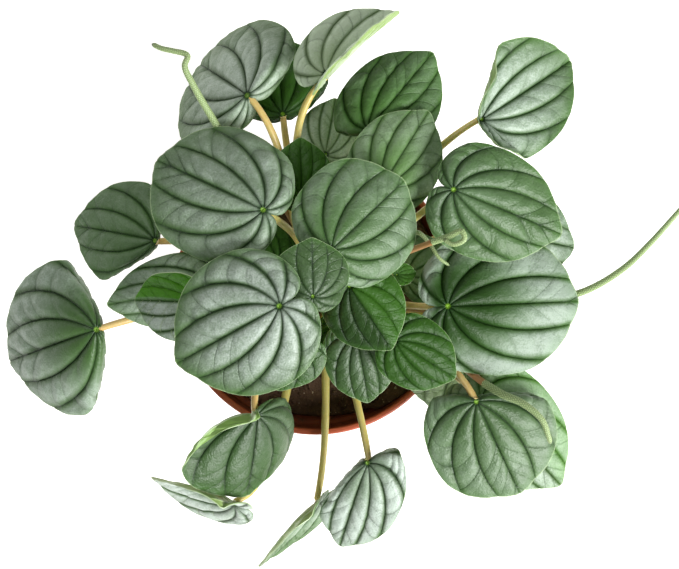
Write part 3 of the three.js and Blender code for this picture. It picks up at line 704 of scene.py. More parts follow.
def blade_points(leaf, side, sector, t, jitter, dimple):
    """Points of the blade's middle surface in its own frame, with what its material reads."""
    length, width = leaf.size
    phi = side * rib_angle(sector)
    swing = VEIN_SWEEP * np.sin(np.radians(np.abs(phi))) * side
    edge = phi - swing
    theta = np.radians(edge + swing * (1 - t))
    share = outline_share(leaf, np.abs(edge))
    reach = t * share * length
    flat_x = reach * np.cos(theta)
    flat_y = reach * np.sin(theta) * width / (OUTLINE_WIDTH * length)
    angle = np.arctan2(flat_y, flat_x)
    distance = np.hypot(flat_x, flat_y)
    run, rise, slope = dome(leaf, angle, distance)
    height, puff = quilting(sector, t, share, jitter)
    lift = height * length - dimple * np.exp(-((distance / DIMPLE_WIDTH) ** 2))
    lift = lift + puckers(leaf, flat_x, flat_y, t)
    out = run - np.sin(slope) * lift
    points = np.stack([out * np.cos(angle), out * np.sin(angle), rise + np.cos(slope) * lift], -1)
    leftward = fold(leaf, points, 1) if leaf.left else points
    rightward = fold(leaf, points, -1) if leaf.right else points
    points = np.where((side > 0)[:, None], leftward, rightward)
    seam = sector >= SECTORS
    points[seam] = (leftward[seam] + rightward[seam]) / 2
    return points, distance, puff


def leaf_frame(leaf):
    heading, pitch, roll = (math.radians(a) for a in leaf.aim)
    return (Matrix.Translation(leaf.at) @ Matrix.Rotation(heading, 4, "Z")
            @ Matrix.Rotation(-pitch, 4, "Y") @ Matrix.Rotation(roll, 4, "X"))


def in_frame(matrix, points):
    m = np.array(matrix)
    return points @ m[:3, :3].T + m[:3, 3]


def blade_piece(number, leaf, tone, materials):
    """A quilted blade with a thin margin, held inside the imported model's box."""
    p = settings()
    length = leaf.size[0]
    rows = round(p.outwards * min(1, max(ROWS.fewest, length / ROWS.length)))
    piece, u, t = add_grid(f"leaf_blade_{number:02d}", UV_RANGE * p.around, rows)
    place = (0.5 - u) * UV_RANGE
    whole = np.floor(np.abs(place) + 1e-6)
    part = np.abs(place) - whole
    sector = whole + part - CROWDING * np.sin(2 * np.pi * part) / (2 * np.pi)
    sector = np.clip(sector, 0, SECTORS)
    side = np.where(place >= 0, 1.0, -1.0)
    jitter = np.random.RandomState(LEAF_SEED + number).uniform(-1, 1, (SECTORS, MOST_SIDE_VEINS))
    points, distance, puff = blade_points(leaf, side, sector, t, jitter, p.dimple / MM)
    lit = abs(tone.lit) * np.clip(LIT_RAMP * side * sector * np.sign(tone.lit), 0, 1)
    layers = {
        **vars(tone), "lit": lit, "pale": tone.pale * (1 - lit), "puff": puff,
        "reach": distance * math.sqrt(PUCKERS.length / length),
    }
    for name, values in layers.items():
        float_attribute(piece, name, values)
    write_uvs(piece, side * sector, t, jitter)
    group = piece.vertex_groups.new(name="body")
    thinned = np.clip((t - THINNING.start) / THINNING.reach, 0, 1) ** THINNING.curve
    for index, weight in enumerate(1 - thinned):
        group.add([index], float(weight), "REPLACE")
    inset = p.thickness / 2
    placed = in_frame(leaf_frame(leaf), points) * MM
    lay_grid(piece, np.clip(placed, np.array(CAD_LOW) + inset, np.array(CAD_HIGH) - inset) / MM)
    for material in materials:
        piece.data.materials.append(material)
    shell = piece.modifiers.new("shell", "SOLIDIFY")
    shell.thickness = p.thickness
    shell.offset = 0
    shell.vertex_group = "body"
    shell.thickness_vertex_group = p.edge_share
    shell.material_offset = 1
    shell.material_offset_rim = 2
    apply_modifiers(piece)
    slot = "leaf_green" if number in GREEN_LEAVES else "leaf_silver"
    finish_piece(piece, None, slot, f"leaf_{number:02d}", sharp=60)


def write_uvs(piece, signed, t, jitter):
    """Writes the vein map, and for each face the side veins of its own sector."""
    mesh = piece.data
    corners = np.zeros(len(mesh.loops), np.int32)
    mesh.loops.foreach_get("vertex_index", corners)
    sector = np.abs(signed)
    faces = sector[corners.reshape(-1, 4)].mean(1)
    index = np.repeat(np.minimum(np.floor(faces), SECTORS - 1).astype(int), 4)
    veins = np.stack([signed[corners] / UV_RANGE + 0.5, t[corners]], -1)
    side = np.zeros_like(veins)
    for k in range(SECTORS):
        mine = index == k
        corner = corners[mine]
        cells, depth = side_cells(k, sector[corner] - k, t[corner], jitter)
        side[mine] = np.stack([cells / UV_RANGE, depth], -1)
    mesh.uv_layers[0].name = "veins"
    mesh.uv_layers.new(name="side")
    for name, values in (("veins", veins), ("side", side)):
        mesh.uv_layers[name].data.foreach_set("uv", values.astype(np.float32).ravel())


def vein_masks(shader, wide, thin):
    """Masks of the main veins, the side veins, the painted shade beside them and the crests."""
    u, t = shader.uv("veins")
    cells, depth = shader.uv("side")
    sector = abs(u * UV_RANGE - SECTORS)
    reach = shader.attribute("reach")
    across = abs(sector - sector.rounded())
    away = across * reach * SECTOR_TURN
    width = wide - (wide - thin) * t
    back = 1 - shader.step(sector, 4.4, 4.7)
    main = (1 - shader.step(away, width * 0.3, width * 1.3)) * back
    main = main * (1 - shader.step(t, 0.6, 1.0) * 0.7)
    cell = cells * UV_RANGE
    beside = abs(cell - cell.rounded())
    side = (1 - shader.step(beside, 0.0, 0.09)) * depth
    # Painted shade: darker green beside the main veins, weaker towards the margin.
    painted_vein_shade = (1 - shader.step(away, 0.0, 1.7)) * (1 - shader.step(t, 0.5, 1.0) * 0.6)
    crest = shader.step(across, 0.03, 0.26)
    crest = crest * (1 - (1 - shader.step(beside, 0.0, 0.3)) * depth * 0.4)
    return main, side, painted_vein_shade, crest, t, reach


def top_material(name, gloss, bloom):
    """The upper side: green beside the veins, silver on the crests, thin light margins."""
    p = settings()
    shader = Shader(name, Specular_IOR_Level=gloss, Sheen_Weight=bloom, Sheen_Roughness=0.4)
    main, side, painted_vein_shade, crest, t, reach = vein_masks(shader, 0.34, 0.15)
    puff, silver, fresh, outer, lit, pale, dark, light_wash = (shader.attribute(layer) for layer in (
        "puff", "silver", "fresh", "outer", "lit", "pale", "dark", "light_wash"))
    grain, fleck, patch = shader.noise(1500, 2), shader.noise(420, 3), shader.noise(85, 3)
    # Own deep green and sage, with painted shade in the grooves; the patches are a random tone.
    full = shader.step(puff, 0.0, 0.6) * 0.55 + patch * 0.6
    inner = 1 - shader.step(t, silver * 0.5 + 0.1, silver * 0.6 + 0.6)
    inner = inner * (1 - outer) + shader.step(t, 0.15, 0.75) * outer
    shine = crest * (patch * 1.1 + fleck * 0.9 - 0.3 + silver * 0.25) * (grain * 1.3 + 0.3)
    # Fresh green, darker in the grooves and beside the main veins with painted shade.
    green = shader.mix(full, scaled(p.fresh, 0.35), p.fresh)
    green = shader.mix(painted_vein_shade * 0.5, green, p.deep)
    fresh = fresh * (1 - outer * shader.step(t, 0.25, 0.8) * 0.7)
    vein = shader.mix(pale, p.vein, p.margin)
    shader.paint(
        shader.mix(full, p.deep, p.sage),
        # Silver on the crests: the leaf's own silver, in part painted sheen and light.
        (silver.at_most(1.0) * shine * inner, p.silver),
        (painted_vein_shade * 0.72, p.deep),
        (fresh * 0.95, green),
        # Darker over the whole blade: the leaf's own deep green, in part painted shade under
        # others.
        (dark * (1 - outer * shader.step(t, 0.2, 0.7) * 0.75), scaled(p.deep, 0.4)),
        (lit * 0.95, shader.mix(full, scaled(p.bright, 0.6), p.bright)),
        (shader.step(t, 0.86, 1.0) * 0.2, scaled(p.fresh, 1.3)),
        # Pale wash, stronger on the crests: in part the leaf's own paler tone, in part painted
        # light.
        (light_wash * (crest * 0.5 + 0.5), scaled(p.margin, 1.2)),
        (side * (pale * 0.4 + 0.25), vein),
        (main * 0.85, vein),
        # Thin light margin: the leaf's own pale edge, in part painted light.
        (shader.step(t, 0.984, 1.0) * (fleck * 1.2), p.margin),
        (1 - shader.step(reach, 1.3, 2.8), p.deep),
        (1 - shader.step(reach, 0.5, 1.4), p.joint))
    shader.set("Roughness", 0.46 - full * 0.06 + grain * 0.1)
    relief = grain * 0.4 + shader.cells(1100) * 0.2 + fleck * 0.8
    shader.bump(relief - main * 0.8 - side * 0.5, 0.5 * MM, 0.9)
    return shader.material


def under_material():
    """The underside: pale green with wide light veins."""
    p = settings()
    shader = Shader("leaf_underside", Roughness=0.5)
    main, side = vein_masks(shader, 1.3, 0.5)[:2]
    grain, patch = shader.noise(900, 3), shader.noise(60, 2)
    pale = tuple(0.7 * c + 0.06 for c in p.underside)
    bright = tuple(c * s for c, s in zip(p.underside, (0.5, 0.8, 0.25)))
    light = tuple(0.6 * c + 0.22 for c in p.margin)
    shader.paint(
        p.underside, (patch * 0.9, pale), (shader.attribute("fresh") * 0.8, bright),
        (main * 0.75 + side * 0.3, light))
    shader.bump(grain * 0.2 + main * 1.0 + side * 0.5, 0.4 * MM, 0.7)
    return shader.material


# Stalks and spikes


def stalk_points(leaf):
    """The four control points of the stalk's curve."""
    matrix = leaf_frame(leaf)
    lean, side = math.radians(leaf.lean), math.radians(leaf.side)
    under = BLADE_THICKNESS / 2 + STALK_CLEARANCE + STALK.joint_radius * math.sin(lean)
    joint = matrix @ Vector((0, 0, -under))
    arrive = Vector((math.sin(lean) * math.cos(side), math.sin(lean) * math.sin(side),
                     math.cos(lean)))
    arrive = (matrix.to_3x3() @ arrive).normalized()
    cx, cy = CROWN.centre
    away = Vector((joint.x - cx, joint.y - cy, 0))
    spread = CROWN.root_spread * min(1, away.length / CROWN.spread_reach)
    away.normalize()
    root = Vector((cx + away.x * CROWN.half_width[0] * spread,
                   cy + away.y * CROWN.half_width[1] * spread,
                   CROWN.bottom + CROWN.root_height))
    distance = (joint - root).length
    bow = Vector(leaf.bow)
    first = root + Vector((0, 0, distance * leaf.rise)) + away * distance * STALK.outwards
    second = joint - arrive * distance * STALK.arrival
    return root, first + bow, second + bow, joint


def bezier(points, t):
    a, b, c, d = (np.array(p) for p in points)
    t = np.asarray(t)[:, None]
    return ((1 - t) ** 3 * a + 3 * (1 - t) ** 2 * t * b + 3 * (1 - t) * t**2 * c + t**3 * d)


def tube_piece(name, line, radius, sides):
    """A closed tube round a line; radius is a function of the shares along and around it."""
    steps = len(line) - 1
    piece, along, around = add_grid(name, steps, sides)
    ring = nearest_ring(along, steps)
    tangent = np.gradient(line, axis=0)
    tangent /= np.linalg.norm(tangent, axis=1)[:, None] + 1e-12
    across = np.zeros_like(line)
    start = np.array([1.0, 0.0, 0.0])
    for i, direction in enumerate(tangent):
        start = start - direction * start.dot(direction)
        start /= np.linalg.norm(start)
        across[i] = start
    other = np.cross(tangent, across)
    turn = 2 * np.pi * around
    r = radius(along, around)
    points = (line[ring] + across[ring] * (r * np.cos(turn))[:, None]
              + other[ring] * (r * np.sin(turn))[:, None])
    float_attribute(piece, "along", along)
    lay_grid(piece, points, closed_ends=True)
    return piece


def stalk_piece(number, leaf, material):
    """A slightly uneven stalk that swells where it is seated in the blade."""
    s = STALK
    line = bezier(stalk_points(leaf), np.linspace(0, 1, s.rings))
    seat = [leaf_frame(leaf) @ Vector((0, 0, -depth)) for depth in s.seat]
    line = np.concatenate([line, np.array(seat)])
    length = np.linalg.norm(np.diff(line, axis=0), axis=1).sum()
    shift = number * s.ripple_shift

    def radius(along, around):
        taper = s.root_radius + (s.joint_radius - s.root_radius) * along
        near = np.clip((along * length - length + s.flare_reach) / s.flare_reach, 0, 1)
        ripple = s.ripple * np.sin(along * length / s.ripple_width + shift)
        ridge = s.ridge * np.sin(2 * np.pi * around * s.ridges)
        return taper + s.flare * near**2 + (ripple + ridge)

    piece = tube_piece(f"leaf_stalk_{number:02d}", line, radius, SIDES.stalk)
    float_attribute(piece, "tan", STALK_TANS.get(number, 0.5))
    finish_piece(piece, material, "stalk", "crown", sharp=60)


def through(points, steps):
    """Points on a centripetal curve through the given ones, evenly spaced."""
    p = np.array(points, float)
    p = np.concatenate([[2 * p[0] - p[1]], p, [2 * p[-1] - p[-2]]])
    curve = []
    for i in range(1, len(p) - 2):
        knots = [0.0]
        for j in range(3):
            knots.append(knots[-1] + np.linalg.norm(p[i + j] - p[i + j - 1]) ** 0.5)
        t = np.linspace(knots[1], knots[2], 24, endpoint=False)[:, None]
        a = [(p[i - 1 + j] * (knots[j + 1] - t) + p[i + j] * (t - knots[j]))
             / (knots[j + 1] - knots[j]) for j in range(3)]
        b = [(a[j] * (knots[j + 2] - t) + a[j + 1] * (t - knots[j]))
             / (knots[j + 2] - knots[j]) for j in range(2)]
        curve.append((b[0] * (knots[2] - t) + b[1] * (t - knots[1])) / (knots[2] - knots[1]))
    curve = np.concatenate([*curve, p[-2:-1]])
    gone = np.concatenate([[0], np.cumsum(np.linalg.norm(np.diff(curve, axis=0), axis=1))])
    even = np.linspace(0, gone[-1], steps + 1)
    return np.stack([np.interp(even, gone, curve[:, k]) for k in range(3)], -1), gone[-1]


def stalk_material():
    p = settings()
    shader = Shader("stalk", Roughness=0.35, Subsurface_Weight=0.15, Subsurface_Scale=0.002)
    streak, speck = shader.noise(260, 3), shader.noise(1400, 1)
    turned = shader.step(shader.attribute("along"), 0.1, 0.95)
    turned = turned * (shader.attribute("tan") * 0.9 + 0.1)
    shader.paint(
        p.stalk_low, (turned, p.stalk_high),
        (streak * 0.7 - 0.15, scaled(p.stalk_high, 0.62)), (speck * 0.35, (0.72, 0.62, 0.38)))
    shader.bump(streak * 0.5 + speck * 0.2, 0.25 * MM, 0.6)
    return shader.material


def flower_stalk_material():
    shader = Shader("flower_stalk", Roughness=0.4)
    streak = shader.noise(300, 3)
    shader.paint(
        (0.30, 0.20, 0.08), (shader.attribute("along"), (0.40, 0.17, 0.07)),
        (streak * 0.8 - 0.1, (0.20, 0.18, 0.05)))
    shader.bump(streak, 0.2 * MM, 0.5)
    return shader.material


def spike_material():
    p = settings()
    shader = Shader("spike", Roughness=0.5)
    bead = shader.attribute("bead")
    tint = shader.noise(500, 2)
    # Painted shade darkens the hollows between the flowers; a painted highlight lightens their
    # tops.
    shader.paint(
        scaled(p.spike_colour, 0.38), (bead, p.spike_colour),
        (shader.step(bead, 0.6, 1.0) * 0.55, (0.44, 0.58, 0.27)), (tint * 0.3, (0.30, 0.36, 0.12)))
    shader.bump(tint, 0.15 * MM, 0.5)
    return shader.material


def spike_piece(number, flower, material):
    """A spike covered with rows of tiny flowers set in a spiral."""
    b, thick = BEADS, flower.radius
    _, length = through(flower.spike, 10)
    rows = length / b.row
    steps = int(rows * b.steps)
    line, _ = through(flower.spike, steps)
    turns = b.turns if thick > b.thin else b.thin_turns

    def radius(along, around):
        ring = np.floor(rows * along)
        cell = np.sin(np.pi * (rows * along - ring)) ** b.sharp
        column = np.abs(np.sin(np.pi * (turns * around + 0.5 * ring))) ** b.sharp
        taper = 1 - b.taper * along**2
        end = np.sqrt(np.clip((1 - along) * length / thick, 0, 1))
        beaded = thick * (b.base + b.height * (cell * column)) * taper
        return beaded * np.maximum(end, b.tip)

    piece = tube_piece(f"flower_spike_{number}", line, radius, SIDES.bead * turns)
    along = np.zeros(len(piece.data.vertices), np.float32)
    piece.data.attributes["along"].data.foreach_get("value", along)
    middle = line[nearest_ring(along, steps)]
    out = np.linalg.norm(vertex_places(piece) / MM - middle, axis=1)
    plain = thick * (1 - b.taper * along**2)
    float_attribute(piece, "bead", np.clip((out / plain - b.base) / b.height, 0, 1))
    finish_piece(piece, material, "spike", f"spike_{number}", sharp=80)


def flower_stalk_piece(number, flower, material):
    s = FLOWER_STALK
    line, length = through(flower.stalk, s.rings)

    def radius(along, around):
        ripple = s.ripple * np.sin(along * length / s.ripple_width)
        return flower.radius * (1.0 + ripple)

    piece = tube_piece(f"flower_stalk_{number}", line, radius, SIDES.flower_stalk)
    finish_piece(piece, material, "stalk", "crown", sharp=60)


# Pot, soil and the stem's foot


def pot_profile():
    p = POT
    foot = p.height - p.collar_height
    inner = p.rim_radius - p.bead_depth - p.wall
    body = p.rim_radius - p.collar_flare - p.collar_step
    outside = [
        (0, 0), (p.base_radius - p.foot, 0), (p.base_radius, p.foot),
        (body, foot), (p.rim_radius - p.collar_flare, foot + p.shoulder),
        (p.rim_radius - p.bead_depth, p.height - p.bead_height - p.edge),
        (p.rim_radius, p.height - p.bead_height),
        (p.rim_radius, p.height - p.edge), (p.rim_radius - p.edge, p.height),
    ]
    inside = [
        (inner + p.edge, p.height), (inner, p.height - p.edge),
        (inner - p.draft, foot + p.edge), (body - p.wall, foot - p.shoulder),
        (p.base_radius - p.wall, p.floor + p.floor_edge),
        (p.base_radius - p.wall - p.floor_edge, p.floor), (0, p.floor),
    ]
    return outside, inside


def rounded_profile(profile, radius, steps=3):
    """Cuts each corner of a profile with a short arc."""
    points = [profile[0]]
    for before, corner, after in zip(profile, profile[1:], profile[2:]):
        corner = np.array(corner, float)
        a, b = np.array(before) - corner, np.array(after) - corner
        cut = min(radius, 0.4 * np.linalg.norm(a), 0.4 * np.linalg.norm(b))
        start = corner + a / np.linalg.norm(a) * cut
        end = corner + b / np.linalg.norm(b) * cut
        for t in np.linspace(0, 1, steps + 1):
            points.append(tuple((1 - t) ** 2 * start + 2 * t * (1 - t) * corner + t**2 * end))
    points.append(profile[-1])
    return points


def turned_piece(name, profile, sides, place=None):
    """A profile turned round the pot's axis. place may move each point out and up."""
    rows = len(profile) - 1
    piece, around, along = add_grid(name, sides, rows)
    row = nearest_ring(along, rows)
    radius, z = np.array(profile, float)[row].T
    angle = 2 * np.pi * around
    if place is not None:
        radius, z = place(angle, row)
    points = np.stack([radius * np.cos(angle), radius * np.sin(angle), z], -1)
    lay_grid(piece, points, closed_ends=True)
    return piece


def pot_piece():
    """The turned pot with its drain holes cut through the floor."""
    p = POT
    outside, inside = pot_profile()
    piece = turned_piece("pot_shell", rounded_profile(outside + inside, 0.8), SIDES.pot)
    for i in range(p.holes):
        angle = 2 * math.pi * (i + 0.5) / p.holes
        at = (p.hole_circle * MM * math.cos(angle), p.hole_circle * MM * math.sin(angle), 0)
        cutter = added(
            bpy.ops.mesh.primitive_cylinder_add, vertices=SIDES.hole,
            radius=p.hole_radius * MM, depth=4 * p.floor * MM, location=at)
        cut = piece.modifiers.new(f"hole_{i}", "BOOLEAN")
        cut.operation = "DIFFERENCE"
        cut.solver = "EXACT"
        cut.object = cutter
        apply_modifiers(piece)
        bpy.data.objects.remove(cutter)
    finish_piece(piece, pot_material(), "pot_plastic", "pot", sharp=35)


def pot_material():
    """Matt plastic, lighter on the rim's edge as painted light, darker and dusty inside and,
    between the dark heights and the collar, outside too.
    """
    p = settings()
    shader = Shader("pot_plastic", Specular_IOR_Level=0.4)
    x, y, z = shader.split(shader.place())
    radius = (x * x + y * y).root()
    grain, cloud = shader.noise(1800, 2), shader.noise(35, 4, 0.6)
    dust = shader.noise(160, 5, 0.7)
    # Painted light: the top of the rim is lighter.
    edge = shader.step(z, *POT_TINTS.rim)
    inner = 1 - shader.step(radius, *POT_TINTS.inner)
    # The wall is darker above these heights, inside the pot and under the collar.
    inner = inner * shader.step(z, *POT_TINTS.dark_heights)
    dirt = shader.step(dust, 0.55, 0.72) * (inner * 0.8 + 0.12)
    shader.paint(
        p.pot_colour, (cloud * 0.5, scaled(p.pot_colour, 0.72)), (edge * 0.8, (0.46, 0.10, 0.045)),
        (inner * 0.55, (0.11, 0.03, 0.02)), (dirt, (0.06, 0.035, 0.02)))
    shader.set("Roughness", 0.34 + grain * 0.12 + dirt * 0.4)
    shader.bump(grain * 0.3 + cloud * 0.5, 0.15 * MM, 0.5)
    return shader.material


def facing(degrees, centre, half_width):
    away = np.abs((degrees - centre + 540) % 360 - 180)
    return np.where(away < half_width, np.cos(np.radians(90 * away / half_width)) ** 2, 0)


def soil_height(share, degrees):
    s = SOIL
    return (s.top + s.middle * (1 - share)
            - s.dip * share**3 * facing(degrees, s.dip_angle, s.dip_width)
            + s.heap * share**4 * facing(degrees, s.heap_angle, s.heap_width))


def wall_radius(z):
    """Inner radius of the pot's wall at a height, less the gap that the soil keeps."""
    wall = pot_profile()[1][::-1]
    ledge = POT.height - POT.collar_height - POT.shoulder
    z = np.where(z < ledge + SOIL.ledge_reach, np.minimum(z, ledge), z)
    return np.interp(z, [h for _, h in wall[1:]], [r for r, _ in wall[1:]]) - SOIL.gap


def crumble(x, y, z, scale, octaves=3):
    """Rough ground, as heights from about -1 to 1."""
    return np.array([
        noise.fractal(Vector(at) / scale, 0.8, 2.1, octaves) for at in zip(x, y, z)])


def soil_piece():
    """The soil's rough top, its skirt on the pot's ledge, and its hidden sides and bottom."""
    rings = GROUND.rings
    skirt, above, corner_row = rings + 1, rings + 2, rings + 3
    shares = [k / rings for k in range(rings + 1)] + [1, 1, 0.95, 0]
    foot = POT.floor + SOIL.gap
    corner = foot + POT.floor_edge
    ledge = POT.height - POT.collar_height - POT.shoulder

    def place(angle, row):
        degrees = np.degrees(angle)
        share = np.array(shares)[row]
        top = soil_height(share, degrees)
        radius = share * wall_radius(top)
        x, y = radius * np.cos(angle), radius * np.sin(angle)
        calm = np.clip((1 - share) / GROUND.calm, 0, 1)
        rough = (GROUND.rough * crumble(x, y, top, GROUND.width)
                 + GROUND.fine_rough * crumble(x, y, top, GROUND.fine_width, 2))
        z = top + calm * rough
        low = np.minimum(ledge, top) - SOIL.skirt
        wall = wall_radius(np.full_like(z, corner))
        for here, new_radius, new_z in (
                (row == skirt, wall_radius(low), low), (row == above, wall, corner),
                (row == corner_row, wall - POT.floor_edge, foot),
                (row > corner_row, 0, foot)):
            radius = np.where(here, new_radius, radius)
            z = np.where(here, new_z, z)
        return radius, z

    piece = turned_piece("soil_bed", [(0, 0)] * len(shares), SIDES.soil, place)
    return finish_piece(piece, soil_material(), "soil", "soil", sharp=180)


def soil_material():
    p = settings()
    shader = Shader("soil", Specular_IOR_Level=0.25)
    clump, fibre = shader.noise(220, 5, 0.65), shader.noise(900, 3, 0.6)
    speck = 1 - shader.step(shader.cells(420), 0.06, 0.17)
    shader.paint(
        scaled(p.soil_colour, 0.9), (clump, scaled(p.soil_colour, 4.6)),
        (shader.step(fibre, 0.56, 0.72) * 0.6, (0.24, 0.13, 0.07)),
        (speck * 0.8, (0.5, 0.4, 0.28)))
    shader.set("Roughness", 0.95 - fibre * 0.2)
    shader.bump(clump + fibre * 0.6, 1.0 * MM, 0.9)
    return shader.material


def crumb_shape(seed):
    """One irregular crumb, a dented icosphere, as vertices and faces."""
    crumb = added(bpy.ops.mesh.primitive_ico_sphere_add, subdivisions=1, radius=1)
    co = np.array([v.co for v in crumb.data.vertices])
    faces = np.array([f.vertices for f in crumb.data.polygons])
    bpy.data.objects.remove(crumb)
    co = co * (1 + np.random.RandomState(seed).uniform(*CRUMBS.dent, (len(co), 1)))
    co[:, 2] *= CRUMBS.flat
    return co, faces


def scatter(name, count, material, seed, small, large):
    """Crumbs strewn over the soil and on the pot's ledge, as one piece."""
    c = CRUMBS
    rng = np.random.RandomState(seed)
    shapes = [crumb_shape(seed + k) for k in range(c.shapes)]
    points, faces = [], []
    total = 0
    for _ in range(count):
        share = math.sqrt(rng.uniform(0, 1))
        degrees = rng.uniform(0, 360)
        size = small + (large - small) * rng.uniform(0, 1) ** 3
        angle = math.radians(degrees)
        top = float(soil_height(np.array(share), np.array(degrees)))
        radius = share * (float(wall_radius(np.array(top))) - size)
        x, y = radius * math.cos(angle), radius * math.sin(angle)
        (cx, cy), (wide, deep) = CROWN.centre, c.bare
        if ((x - cx) / wide) ** 2 + ((y - cy) / deep) ** 2 < c.bare_share:
            continue
        co, tri = shapes[rng.randint(len(shapes))]
        spin = np.array(Matrix.Rotation(rng.uniform(0, c.turn), 3, "Z")
                        @ Matrix.Rotation(rng.uniform(-c.tilt, c.tilt), 3, "X"))
        stretch = np.array([rng.uniform(*c.stretch), 1, 1])
        rough = GROUND.rough * crumble([x], [y], [top], GROUND.width)[0]
        at = (x, y, top + rough + c.raised * size)
        points.append((co * stretch * size) @ spin.T + at)
        faces.append(tri + total)
        total += len(co)
    mesh = bpy.data.meshes.new(name)
    mesh.from_pydata((np.concatenate(points) * MM).tolist(), [], np.concatenate(faces).tolist())
    piece = bpy.data.objects.new(name, mesh)
    bpy.context.scene.collection.objects.link(piece)
    finish_piece(piece, material, "soil", "soil", sharp=70)


def stem_piece():
    """The short stem that the stalks rise from."""
    wide, deep = CROWN.half_width
    cx, cy = CROWN.centre
    profile = rounded_profile(CROWN.side, 3.0, 4)
    rings = len(profile) - 1
    piece, around, along = add_grid("stem_foot", SIDES.stem, rings)
    out, up = np.array(profile, float)[nearest_ring(along, rings)].T
    angle = 2 * np.pi * around
    knobs = np.minimum(1 + 0.05 * np.sin(5 * angle + 1) * np.sin(up / 3), 1)
    x = cx + wide * out * np.cos(angle) * knobs
    y = cy + deep * out * np.sin(angle) * knobs
    lay_grid(piece, np.stack([x, y, CROWN.bottom + up], -1), closed_ends=True)
    bark = mottled_material(
        "stem", 0.7, (180, 4, 0.6), (0.10, 0.055, 0.03), (0.26, 0.17, 0.09), 0.8, 0.8)
    finish_piece(piece, bark, "stalk", "crown", sharp=70)


# Operators


class PEPEROMIA_OT_leaves(bpy.types.Operator):
    """Build the thirty-four quilted leaf blades."""

    bl_idname = "peperomia.leaves"
    bl_label = "Leaves"

    def execute(self, context):
        light = settings().margin
        silvery = top_material("leaf_top_silvery", 0.42, 0.07)
        green = top_material("leaf_top_green", 0.22, 0)
        margin = mottled_material("leaf_margin", 0.4, (200,), light, scaled(light, 0.8))
        others = (under_material(), margin)
        for number, (leaf, tone) in enumerate(zip(LEAVES, COLOURINGS), 1):
            top = green if tone.fresh > GREEN_FROM or tone.lit else silvery
            blade_piece(number, leaf, tone, (top, *others))
        return {"FINISHED"}


class PEPEROMIA_OT_stalks(bpy.types.Operator):
    """Build the stem's foot and all leaf stalks."""

    bl_idname = "peperomia.stalks"
    bl_label = "Stalks"

    def execute(self, context):
        stem_piece()
        material = stalk_material()
        for number, leaf in enumerate(LEAVES, 1):
            stalk_piece(number, leaf, material)
        return {"FINISHED"}


class PEPEROMIA_OT_spikes(bpy.types.Operator):
    """Build the flower spikes and their stalks."""

    bl_idname = "peperomia.spikes"
    bl_label = "Flower spikes"

    def execute(self, context):
        green, brown = spike_material(), flower_stalk_material()
        for number, flower in enumerate(SPIKES, 1):
            spike_piece(number, flower, green)
            flower_stalk_piece(number, flower, brown)
        return {"FINISHED"}


class PEPEROMIA_OT_pot(bpy.types.Operator):
    """Build the nursery pot with its drain holes."""

    bl_idname = "peperomia.pot"
    bl_label = "Pot"

    def execute(self, context):
        pot_piece()
        return {"FINISHED"}


class PEPEROMIA_OT_soil(bpy.types.Operator):
    """Build the soil, its crumbs and its perlite."""

    bl_idname = "peperomia.soil"
    bl_label = "Soil"

    def execute(self, context):
        p = settings()
        light = p.perlite_colour
        perlite = mottled_material(
            "perlite", 0.85, (500, 3), scaled(light, 0.45), light, 0.4, 0.7)
        bed = soil_piece()
        scatter("soil_crumbs", p.grains, bed.data.materials[0], **CRUMB_DRAW)
        scatter("soil_perlite", p.grains // CRUMBS_PER_PERLITE, perlite, **PERLITE_DRAW)
        return {"FINISHED"}


class PEPEROMIA_OT_stage(bpy.types.Operator):
    """Set up the floor, the soft light and the camera over the plant."""

    bl_idname = "peperomia.stage"
    bl_label = "Stage"

    def execute(self, context):
        floor_piece()
        lights()
        camera()
        return {"FINISHED"}


def floor_piece():
    floor = added(
        bpy.ops.mesh.primitive_plane_add, size=FLOOR.size, location=(0, 0, -FLOOR.below))
    floor.name = "floor"
    shader = Shader("floor", Roughness=0.9, Base_Color=(0.92, 0.915, 0.9, 1),
                    Emission_Color=(1, 0.995, 0.98, 1), Emission_Strength=FLOOR.glow)
    floor.data.materials.append(shader.material)


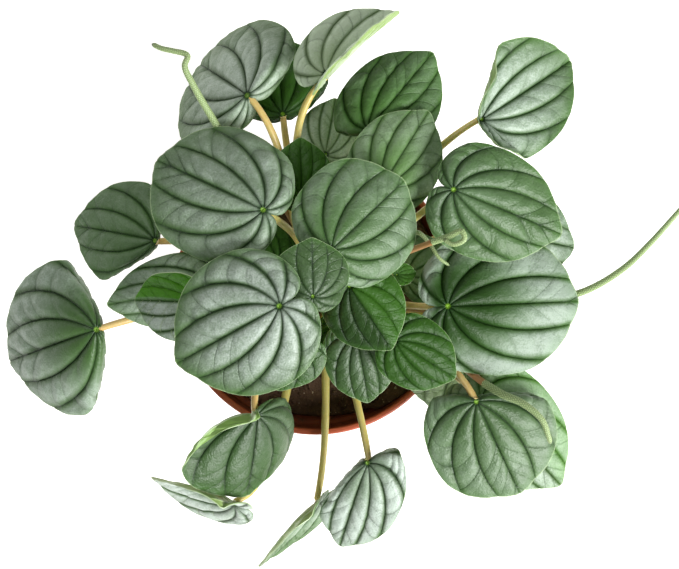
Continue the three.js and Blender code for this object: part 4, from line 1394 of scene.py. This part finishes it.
def lights():
    world = bpy.data.worlds.new("studio")
    world.use_nodes = True
    sky = world.node_tree.nodes["Background"]
    sky.inputs["Color"].default_value = (1, 1, 1, 1)
    sky.inputs["Strength"].default_value = SKY_STRENGTH
    bpy.context.scene.world = world
    for name, at, size, power in LIGHTS:
        light = added(bpy.ops.object.light_add, type="AREA", location=at)
        light.name = name
        light.data.size = size
        light.data.energy = power
        light.rotation_euler = (-Vector(at)).to_track_quat("-Z", "Y").to_euler()


def camera():
    at = (CAMERA.x, CAMERA.y, POT.height * MM + settings().camera_height)
    eye = added(bpy.ops.object.camera_add, location=at, rotation=(0, 0, 0))
    eye.data.sensor_width = CAMERA.sensor
    eye.data.lens = CAMERA.lens
    eye.data.clip_end = CAMERA.sight
    bpy.context.scene.camera = eye
    bpy.context.scene.view_settings.view_transform = "Standard"


class PEPEROMIA_PT_sidebar(bpy.types.Panel):
    """Lists the pieces of the plant and its settings."""

    bl_label = "Peperomia"
    bl_idname = "PEPEROMIA_PT_sidebar"
    bl_space_type = "VIEW_3D"
    bl_region_type = "UI"
    bl_category = "Peperomia"

    def draw(self, context):
        for operator in OPERATORS:
            self.layout.operator(operator.bl_idname)
        for name in PeperomiaSettings.__annotations__:
            self.layout.prop(context.scene.peperomia, name)


OPERATORS = (
    PEPEROMIA_OT_pot, PEPEROMIA_OT_soil, PEPEROMIA_OT_stalks, PEPEROMIA_OT_spikes,
    PEPEROMIA_OT_leaves, PEPEROMIA_OT_stage,
)
CLASSES = (PeperomiaSettings, *OPERATORS, PEPEROMIA_PT_sidebar)


def register():
    for cls in CLASSES:
        bpy.utils.register_class(cls)
    bpy.types.Scene.peperomia = PointerProperty(type=PeperomiaSettings)


def unregister():
    del bpy.types.Scene.peperomia
    for cls in reversed(CLASSES):
        bpy.utils.unregister_class(cls)


def write_sizes():
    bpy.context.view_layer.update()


def main():
    register()
    bpy.ops.peperomia.pot()
    bpy.ops.peperomia.soil()
    bpy.ops.peperomia.stalks()
    bpy.ops.peperomia.spikes()
    bpy.ops.peperomia.leaves()
    bpy.ops.peperomia.stage()
    write_sizes()


if __name__ == "__main__":
    main()
